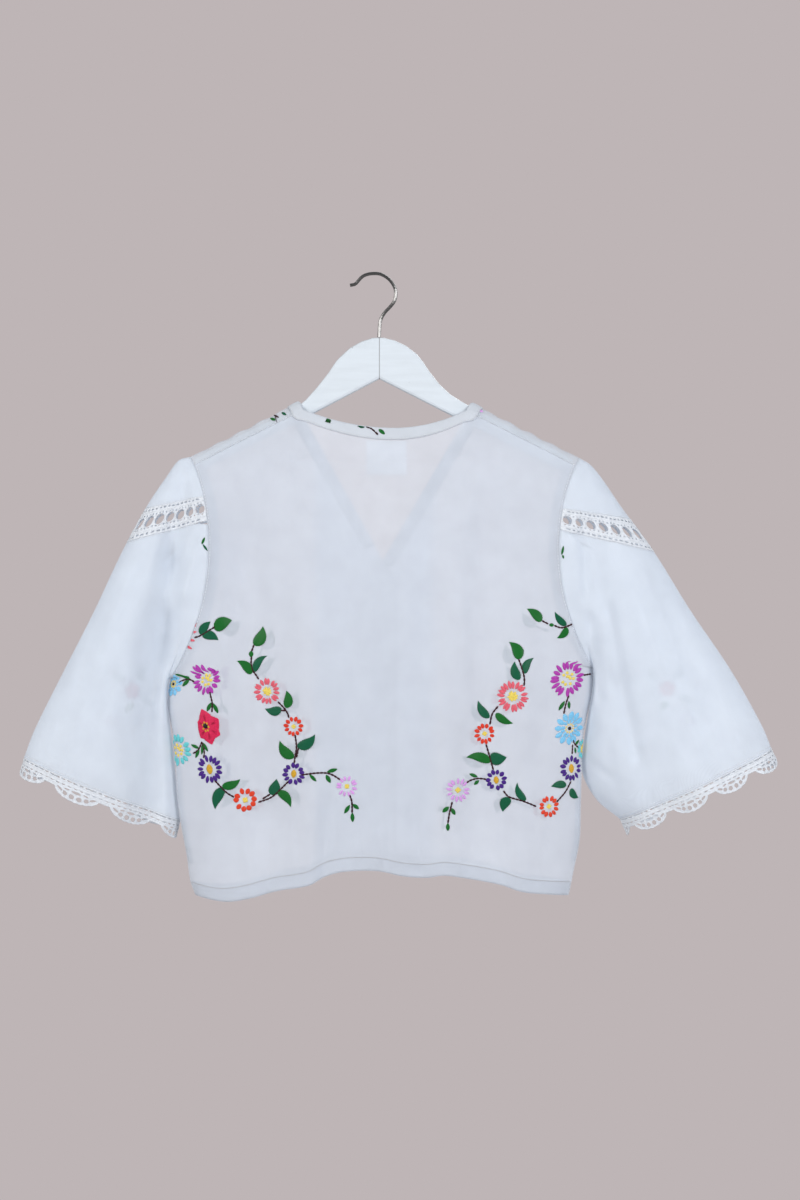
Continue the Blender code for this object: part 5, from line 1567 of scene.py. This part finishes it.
# Stems, each a line of points x, z
LEFT_STEMS = (
    ((-192, -380), (-186.5, -378.5), (-170.5, -369)), ((-130, -387.5), (-132.5, -394.5)),
    ((-132.5, -400), (-133, -407.5), (-131, -415), (-128, -418.5), (-125, -423.5)),
    ((-104.5, -446.5), (-97.5, -453.5), (-94, -459), (-93, -463)), ((-101.5, -455.5), (-96, -455.5)),
    ((-86.5, -480.5), (-85, -493), (-86.5, -503), (-87.5, -510)), ((-83, -494), (-85, -504)),
    ((-93.5, -529), (-104.5, -540), (-113, -547), (-125.5, -551.5)), ((-121, -548), (-113, -543)),
    ((-170.5, -528.5), (-165.5, -534), (-158, -541.5), (-150.5, -546)),
    ((-80, -522), (-65.5, -520), (-54, -520), (-47, -522.5), (-40, -527)),
    ((-30.5, -542.5), (-28, -549), (-27.5, -561.5)),
    ((-210, -427.5), (-205.5, -425), (-198, -423.5), (-191, -426.5)),
    ((-175.5, -436.5), (-173, -447.5), (-175, -457.5)), ((-183, -488.5), (-188, -497), (-194.5, -501)),
    ((-183, -489.5), (-181.5, -498.5), (-183, -505.5)),
)
RIGHT_STEMS = (
    ((169.5, -362.5), (176.5, -366)), ((182, -367.5), (190.5, -370), (202.5, -366)),
    ((145, -402), (149, -413.5), (151, -423), (150.5, -430)),
    ((124, -451.5), (118, -459), (115.5, -470.5)), ((111.5, -491), (115, -503), (119, -517.5)),
    ((112, -527.5), (103.5, -526.5), (96, -528), (90.5, -531)),
    ((76, -550), (73.5, -560), (71.5, -572)),
    ((129.5, -539), (135, -545.5), (149, -549.5), (163.5, -555.5)),
    ((185, -551.5), (194.5, -541.5), (201, -530.5)), ((196.5, -440.5), (195, -447.5), (195, -459.5)),
    ((202, -487), (204.5, -492), (210, -495.5)), ((202, -492), (202, -502)),
    ((212.5, -419.5), (223.5, -418.5)),
)
print("flowers:", len(LEFT_FLOWERS) + len(RIGHT_FLOWERS), "leaves:", len(LEFT_LEAVES) + len(RIGHT_LEAVES))

# %% Threads
FLOSS = {
    "magenta": (0.45, 0.045, 0.42),
    "coral": (0.80, 0.13, 0.18),
    "red": (0.75, 0.045, 0.018),
    "orange red": (0.76, 0.055, 0.02),
    "crimson": (0.68, 0.02, 0.09),
    "dark crimson": (0.42, 0.01, 0.06),
    "dark purple": (0.065, 0.018, 0.23),
    "lilac": (0.75, 0.38, 0.83),
    "turquoise": (0.15, 0.62, 0.66),
    "sky blue": (0.22, 0.58, 0.87),
    "yellow": (0.87, 0.68, 0.13),
    "ochre": (0.68, 0.38, 0.03),
    "black": (0.012, 0.010, 0.012),
    "leaf green": (0.006, 0.135, 0.018),
    "pine green": (0.004, 0.105, 0.048),
    "stem brown": (0.045, 0.008, 0.014),
}
FLOSS_MATERIALS = [thread_colour(f"floss_{name.replace(' ', '_')}", colour) for name, colour in FLOSS.items()]
FLOSS_MARK = {name: k for k, name in enumerate(FLOSS)}
hand = np.random.default_rng(21)
print("thread colours:", len(FLOSS))

# %% [markdown]
# `pad` is one satin-stitched grain. It is a dome over a rounded outline, and `strands`
# says how many thread ridges lie side by side on it. Its underside is one face that
# stays hidden in the cloth.

# %% Petal and leaf
def grid_with_floor(rows, columns):
    quads = grid_quads(rows, columns).tolist()
    last, foot = columns - 1, (rows - 1) * columns
    rungs = [[r + columns, r + columns + last, r + last, r] for r in range(0, foot, columns)]
    return quads + rungs + [list(range(last, -1, -1)), list(range(foot, foot + columns))]


SUNK = 0.12  # a grain starts this far inside the cloth


def pad(length, width, height, strands=4, blunt=0.5, rows=7, columns=9):
    """A petal: u along it, v across it, h out of the cloth, in millimetres."""
    t, w = np.linspace(0, 1, rows)[:, None], np.linspace(-1, 1, columns)[None, :]
    swell = np.sin(np.pi * np.clip(t, 0.03, 0.97)) ** blunt
    u, v = t * length + 0 * w, w * swell * width / 2
    rounded = np.sqrt(np.clip(1 - w ** 2, 0, 1)) * swell ** 0.8
    h = height * rounded + 0.10 * np.cos(np.pi * strands * w) * rounded
    return u, v, h - SUNK, grid_with_floor(rows, columns)


def leaf(length, width, height, bend, rows=23, columns=9):
    """A teardrop leaf with slanting threads, a midrib and a finely serrated edge."""
    t, w = np.linspace(0, 1, rows)[:, None], np.linspace(-1, 1, columns)[None, :]
    t_in = np.clip(t, 0.012, 0.995)
    swell = (t_in / 0.36) ** 0.54 * ((1 - t_in) / 0.64) ** 0.96
    curl = np.clip(t - 0.62, 0, 1) ** 2 * 1.9
    jagged = 1 + 0.07 * np.cos(np.pi * np.arange(rows))[:, None] * (np.abs(w) > 0.9)
    u = t * length - 0.10 * width * np.abs(w) * (1 - t) + 0 * w
    v = w * swell * jagged * width / 2 + bend * length * (t ** 2 - t + curl)
    rounded = np.sqrt(np.clip(1 - w ** 2, 0, 1)) * swell ** 0.7
    ridges = 0.09 * np.cos(2 * np.pi * (t * rows / 3.2 + 0.5 * np.abs(w)))
    h = (height + ridges) * rounded - 0.22 * np.exp(-(w / 0.12) ** 2) * swell
    return u, v, h - SUNK, grid_with_floor(rows, columns)


print("a petal has", len(pad(8, 4, 0.7)[3]), "faces")


# %% Garland
class Garland:
    """Gathers grains in the plane of the view and then lays them all on the cloth."""

    def __init__(self):
        self.parts = []

    def grain(self, x, z, turn, shape, colour, squeeze=(1.0, 1.0), origin=None):
        """A shape with its foot at x, z, pointing in the direction turn."""
        u, v, h, faces = shape
        dx = u * math.cos(turn) - v * math.sin(turn)
        dz = u * math.sin(turn) + v * math.cos(turn)
        ox, oz = (x, z) if origin is None else origin
        px, pz = ox + (x + dx - ox) * squeeze[0], oz + (z + dz - oz) * squeeze[1]
        self.parts.append((px.ravel(), pz.ravel(), h.ravel(), faces, FLOSS_MARK[colour]))

    def lay(self, bundle, place, lift=0.3, reverse=False):
        """Lays all grains. In reverse they lie on the far side of the cloth, and flatter."""
        sizes = [len(part[0]) for part in self.parts]
        x, z, h = (np.concatenate([part[k] for part in self.parts]) for k in range(3))
        here, out = place(x, z)
        points = here + out * (-0.4 * h - lift if reverse else h + lift)[:, None]
        for chunk, part in zip(np.split(points, np.cumsum(sizes)[:-1]), self.parts):
            bundle.add(chunk, [face[::-1] for face in part[3]] if reverse else part[3], part[4])


print("grains are gathered in the view and laid together")


# %% Flowers
def polar(far, turn):
    return far * math.cos(turn), far * math.sin(turn)


def flower(garland, x, z, half_x, half_z, kind, petals, colour):
    far = max(half_x, half_z)
    squeeze, middle = (half_x / far, half_z / far), (x, z)
    start = hand.uniform(0, 2 * np.pi)

    def ring(count, near, reach, fill, tone, height=0.75, strands=4, blunt=0.5, phase=0.0):
        for k in range(count):
            turn = start + phase + 2 * np.pi * k / count + hand.normal(0, 0.05)
            foot = near * hand.uniform(0.97, 1.04)
            length = (reach - foot) * hand.uniform(0.88, 1.05)
            width = 2 * np.pi * (near + 0.62 * (reach - near)) / count * fill * hand.uniform(0.86, 1.08)
            aim = turn + hand.normal(0, 0.09)
            dx, dz = polar(foot, turn)
            garland.grain(x + dx, z + dz, aim,
                          pad(length, width, height, strands, blunt), tone, squeeze, middle)

    def dot(dx, dz, size, tone, height=0.8):
        turn = hand.uniform(0, np.pi)
        garland.grain(x + dx - size * math.cos(turn), z + dz - size * math.sin(turn), turn,
                      pad(2 * size, 2 * size, height, 3, 0.5, 6, 7), tone, squeeze, middle)

    if kind == "poppy":
        for turn, reach, width in ((0.45, 0.98, 1.25), (1.75, 1.04, 1.15), (2.75, 0.76, 1.1), (3.9, 0.9, 1.2),
                                   (4.85, 1.02, 1.2), (5.75, 0.94, 1.15)):
            garland.grain(x, z, turn, leaf(reach * far, width * far, 0.8, 0.16), "crimson", squeeze, middle)
            dx, dz = polar(0.3 * far, turn)
            for lean in (-0.16, 0.14):
                garland.grain(x + dx, z + dz, turn + lean,
                              pad(0.42 * reach * far, 0.7, 1.15, 1, 0.4), "dark crimson", squeeze, middle)
        for k in range(7):
            turn = 2 * np.pi * k / 7
            dot(-0.12 * far + 0.2 * far * math.cos(turn), 0.24 * far * math.sin(turn), 1.5, "ochre", 1.5)
        dot(-0.14 * far, 0.06 * far, 0.19 * far, "black", 1.9)
        return
    if kind == "loops":
        ring(petals, 0.50 * far, far, 0.84, colour, 0.55, 2, 0.55)
        ring(petals, 0.30 * far, 0.58 * far, 0.8, colour, 0.75, 2, 0.55, math.pi / petals)
        for k in range(9):
            dot(*polar(0.24 * far, 2 * np.pi * k / 9), 0.95, "yellow")
        dot(0, 0, 0.12 * far, "black", 0.9)
        return
    ring(petals, 0.50 * far, far, 0.66 if colour == "lilac" else 0.9, colour)
    if kind == "seeded":
        for k in range(10):
            turn = 2 * np.pi * k / 7 + hand.normal(0, 0.1)
            dot(*polar((0.33 if k < 7 else 0.13) * far, turn), 1.7, "yellow", 0.7)
    elif kind == "disc":
        ring(9, 0.02 * far, 0.36 * far, 1.2, "yellow", 0.7, 2)
        dot(0, 0, 0.17 * far, "yellow", 1.0)
    elif kind == "oval":
        lean = hand.uniform(1.2, 1.9)
        garland.grain(x - 0.34 * far * math.cos(lean), z - 0.34 * far * math.sin(lean), lean,
                      pad(0.68 * far, 0.5 * far, 0.9, 5), "ochre", squeeze, middle)
    else:
        for k in range(4):
            dot(*polar(0.12 * far, start + np.pi * k / 2), 0.13 * far, "yellow", 0.8)


print("kinds of flower: poppy, loops, seeded, disc, oval, small")


# %% Leaves and stems
def add_leaf(garland, x0, z0, x1, z1, width, colour):
    length, turn = math.hypot(x1 - x0, z1 - z0), math.atan2(z1 - z0, x1 - x0)
    if width < 6:
        shape = pad(length, width, 0.6, 4, 0.6)
    else:
        shape = leaf(length * 1.06, width * 1.08, 0.65, hand.choice((-1, 1)) * hand.uniform(0.22, 0.42))
    garland.grain(x0, z0, turn, shape, colour)


def add_stem(garland, line):
    """Back stitches about 4 mm long on a smooth line through the points."""
    marks = np.arange(len(line), dtype=float)
    fine = np.linspace(0, len(line) - 1, 12 * len(line))
    curve = np.stack(along([(k, *point) for k, point in zip(marks, line)], fine), -1)
    run = lengths_along(curve)
    count = max(int(run[-1] / 3.9 + 0.5), 1)
    for k in range(count):
        a, b = ((run[-1] * at / count) for at in (k - 0.03, k + 1.0))
        (ax, bx), (az, bz) = (np.interp((a, b), run, curve[:, axis]) for axis in (0, 1))
        length = math.hypot(bx - ax, bz - az)
        stitch = pad(length, 2.2, 0.9, 2, 0.25, 5, 5)
        garland.grain(ax, az, math.atan2(bz - az, bx - ax), stitch, "stem brown")


print("a leaf has", len(leaf(16, 9, 0.7, 0.3)[3]), "faces")

# %% [markdown]
# Near a side seam a flower wraps round to the front, so its place is turned from the
# view's x into a distance from the seam. Flowers in the middle are laid straight
# through the view. The fronts get the same kind of garland, because its colours show
# faintly through the back.

# %% Laying the garlands
WRAP_FROM = 176.0  # beyond this x a motif is laid round the side seam


def lay_garland(name, side, flowers, leaves, stems, drape):
    bundle, wrap, facing = Bundle(), wraps[side], drape.facing
    turned = facing * (-1 if side == "left" else 1)

    def motif(draw, row, centre_x, centre_z, reach):
        """Draws one motif and lays it, by the side wrap if it comes near the seam."""
        garland = Garland()
        draw(garland, *row)
        if abs(centre_x) + reach < WRAP_FROM:
            garland.lay(bundle, drape.lay)
        else:
            s0 = wrap.s_of(centre_x, centre_z, facing)
            garland.lay(bundle, lambda x, z: wrap.lay(s0 + (x - centre_x) * turned, z))

    for x, z, half_x, half_z, kind, *rest in flowers:
        if abs(x) > WRAP_FROM and kind != "poppy":
            half_x = half_z
        motif(flower, (x, z, half_x, half_z, kind, *rest), x, z, half_x)
    for row in leaves:
        x0, z0, x1, z1, width, _ = row
        motif(add_leaf, row, (x0 + x1) / 2, (z0 + z1) / 2, abs(x1 - x0) / 2 + width / 2)
    for line in stems:
        middle = np.mean(line, axis=0)
        motif(add_stem, (line,), *middle, max(abs(x - middle[0]) for x, _ in line))
    bundle.tie(name, FLOSS_MATERIALS, "white_cotton")
    print(name, "-", len(bundle.faces), "faces")


lay_garland("embroidery_back_left", "left", LEFT_FLOWERS, LEFT_LEAVES, LEFT_STEMS, back_drape)
lay_garland("embroidery_back_right", "right", RIGHT_FLOWERS, RIGHT_LEAVES, RIGHT_STEMS, back_drape)

# %% The fronts' garlands
def shifted(row, dx, dz):
    """A row of a flower, leaf or stem table, moved over the view."""
    if isinstance(row[0], tuple):
        return tuple((x + dx, z + dz) for x, z in row)
    places = 4 if len(row) == 6 else 2
    return tuple(value + (dx, dz)[k % 2] for k, value in enumerate(row[:places])) + row[places:]


def kept(row, low_x, high_x, low_z=-605):
    """Whether a motif stays on a front. A stem does if all of its points do."""
    points = row if isinstance(row[0], tuple) else (row[:2],)
    return all(low_x < x < high_x and z > low_z for x, z in points)


for side, tables, dx, dz, low_x, high_x in (
        ("left", (LEFT_FLOWERS, LEFT_LEAVES, LEFT_STEMS), 6, -4, -WRAP_FROM, -44),
        ("right", (RIGHT_FLOWERS, RIGHT_LEAVES, RIGHT_STEMS), -4, -6, 58, WRAP_FROM)):
    moved = [[row for row in (shifted(row, dx, dz) for row in table) if kept(row, low_x, high_x)]
             for table in tables]
    lay_garland(f"embroidery_front_{side}", side, *moved, front_drape)

# %% [markdown]
# A few loose bits are left: sprigs on the fronts of the sleeves, small green leaves
# beside the sleeve seams, and pieces of leaves where the neck binding and the shoulders
# were cut from the same flowered border. A sprig also has a wrong side of knots inside
# the sleeve, and their pink glimmers through the sleeve's back.

# %% Loose bits
bits = Bundle()
for side, x, z, lean in (("left", -264, -438, -1), ("right", 308, -436, 1)):
    sprig, knots, lay = Garland(), Garland(), sleeve_drapes[(side, 1)].lay
    flower(sprig, x, z, 10.5, 10.5, "disc", 12, "coral")
    flower(sprig, x + 22 * lean, z - 34, 8, 8, "small", 9, "magenta")
    for row in ((8, 11, 14, 26, 9, LEAF), (-9, 10, -20, 22, 9, PINE), (12, -9, 26, -14, 8, LEAF)):
        add_leaf(sprig, *shifted(row, x, z))
    add_stem(sprig, ((x, z - 14), (x + 8 * lean, z - 24)))
    sprig.lay(bits, lay)
    for k in range(5):
        turn = 1.26 * k + 0.4
        add_leaf(knots, x, z, x + 8 * math.cos(turn), z + 8 * math.sin(turn), 9, "crimson")
    add_leaf(knots, x + 1, z - 15, x - 8, z - 23, 7, LEAF)
    knots.lay(bits, lay, 0.5, reverse=True)


def lay_sprig(place, leaves, stem=(), lift=0.3, last=()):
    sprig = Garland()
    for row in leaves:
        add_leaf(sprig, *row)
    if stem:
        add_stem(sprig, stem)
    for row in last:
        add_leaf(sprig, *row)
    sprig.lay(bits, place, lift)


lay_sprig(sleeve_drapes[("left", -1)].lay, (
    (-181, -276, -184, -283, 3, LEAF), (-183, -283, -178, -290, 2.4, PINE),
    (-188, -211, -186, -217, 3.2, LEAF)))
lay_sprig(sleeve_drapes[("right", -1)].lay, (
    (192, -285, 190, -294, 2.8, LEAF), (191, -294, 192, -298, 2.2, LEAF)))
lay_sprig(back_drape.lay, (
    (-54, -149, -50.5, -154, 5, LEAF), (-22, -158.5, -15, -160.5, 4.5, PINE),
    (0, -163, 6, -168.5, 4.5, LEAF)),
    ((-13.5, -157.5), (-7, -163), (-1, -169)), 2.0)
lay_sprig(Drape([front_grids["left"], front_grids["right"]], -1).lay, (
    (-114, -150.5, -108, -153, 3.4, LEAF), (-102, -144.5, -97, -147.5, 3.2, PINE)),
    ((-110, -147), (-105, -150)), last=((104, -141.5, 109, -144, 3.2, "lilac"),))
lay_sprig(back_drape.lay, (
    (-196, -368, -189.5, -365, 3.2, "coral"), (-197.5, -375, -189.5, -374, 3.4, "coral"),
    (-199, -382, -191.5, -383.5, 3.2, "coral"), (-201, -388.5, -194.5, -392, 3, "coral")))
bits.tie("embroidery_bits", FLOSS_MATERIALS, "white_cotton")
print("loose bits:", len(bits.points), "grains")

# %% [markdown]
# ## The hanger
#
# The hanger's two solids already have the right shape, so they stay and only get their
# finish: white paint with a hint of the wood's grain, small nicks and the fine line
# where the two arms are joined, and a grey wire that smears have dulled.

# %% Hanger
def painted_wood():
    new = Finish(bpy.data.materials.new("worn_white_paint"))
    place = new.place()
    stretched = new.add("Mapping", {"Scale": (18.0, 160.0, 160.0), "Vector": place})
    grain = new.add("TexNoise", {"Scale": 1.0, "Detail": 6.0, "Vector": stretched})
    tone = new.ramp(grain, 0.25, (0.63, 0.68, 0.73), 0.62, (0.68, 0.735, 0.79))
    middle = new.add("SeparateXYZ", {0: place})
    joint = new.add("Math", {0: middle, 1: 0.0051, 2: 0.00045}, operation="COMPARE")
    worn = new.add("TexVoronoi", {"Scale": 60.0, "Vector": place})
    nick = new.add("MapRange", {"Value": worn, "From Min": 0.045, "From Max": 0.02})
    dark = new.add("Math", {0: joint, 1: nick}, operation="MAXIMUM")
    marked = new.add("MixRGB", {"Fac": dark, "Color1": tone, "Color2": (0.33, 0.34, 0.36, 1)})
    bump = new.add("Bump", {"Strength": 0.12, "Distance": 0.0005, "Height": grain})
    return new.done(new.add("BsdfPrincipled", {
        "Roughness": 0.42, "Base Color": marked, "Normal": bump}))


def hook_wire():
    new = Finish(bpy.data.materials.new("hook_chrome_wire"))
    smears = new.add("TexNoise", {"Scale": 220.0, "Vector": new.place()})
    gloss = new.add("MapRange", {"Value": smears, "To Min": 0.22, "To Max": 0.38})
    return new.done(new.add("BsdfPrincipled", {
        "Base Color": (0.13, 0.127, 0.125, 1), "Metallic": 1.0, "Roughness": gloss}))


for node, finish in (("hanger_bar", painted_wood()), ("hanger_hook", hook_wire())):
    wood_or_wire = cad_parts[node]
    wood_or_wire.data.materials.clear()
    wood_or_wire.data.materials.append(finish)
    wood_or_wire.data.shade_smooth()
print("hanger finished")

# %% [markdown]
# ## Floor, backdrop and light
#
# The wall behind the blouse is a plain greyish pink. Lamps near the camera and a pale
# sky all round keep the shadows as soft as in the photograph.

# %% Floor
def stage_plane(name, corners, colour):
    mesh = bpy.data.meshes.new(name)
    mesh.from_pydata(corners, [], [(0, 1, 2, 3)])
    matt = Finish(bpy.data.materials.new(name))
    paint = matt.add("BsdfPrincipled", {"Base Color": (*colour, 1), "Roughness": 0.9})
    mesh.materials.append(matt.done(paint))
    plane = bpy.data.objects.new(name, mesh)
    bpy.context.collection.objects.link(plane)


stage_plane("pale_floor", [(-4, -4, -1.65), (4, -4, -1.65), (4, 2.4, -1.65), (-4, 2.4, -1.65)],
            (0.62, 0.60, 0.60))

print("floor is laid 1.65 m below the rail")

# %% Sky and wall colour
sky = Finish(bpy.data.worlds.new("soft_studio"))
wall_tone = sky.add("Background", {"Color": (0.515, 0.462, 0.468, 1)})
sky_tone = sky.add("Background", {"Color": (0.93, 0.96, 1.0, 1), "Strength": 0.42})
seen = sky.add("LightPath", {}).outputs["Is Camera Ray"]
bpy.context.scene.world = sky.done(sky.add("MixShader", {0: seen, 1: sky_tone, 2: wall_tone}), "OutputWorld")
print("sky:", sky.made.name)


# %% Lamps
def soft_lamp(name, place, aim, size, power, colour):
    lamp = bpy.data.lights.new(name, "AREA")
    lamp.shape = "DISK"
    lamp.size = size
    lamp.energy = power
    lamp.color = colour
    made = bpy.data.objects.new(name, lamp)
    made.location = place
    made.rotation_euler = (Vector(aim) - Vector(place)).to_track_quat("-Z", "Y").to_euler()
    bpy.context.collection.objects.link(made)


soft_lamp("window", (-2.3, -2.0, 0.8), (0.0, 0.0, -0.35), 1.3, 52, (1.0, 0.985, 0.96))
soft_lamp("fill", (2.1, -2.5, 0.4), (0.05, 0.0, -0.4), 1.5, 60, (0.98, 0.985, 1.0))
soft_lamp("behind", (0.9, 2.6, 0.9), (0.0, 0.0, -0.35), 1.8, 26, (1.0, 1.0, 1.0))
bpy.context.scene.view_settings.view_transform = "Standard"
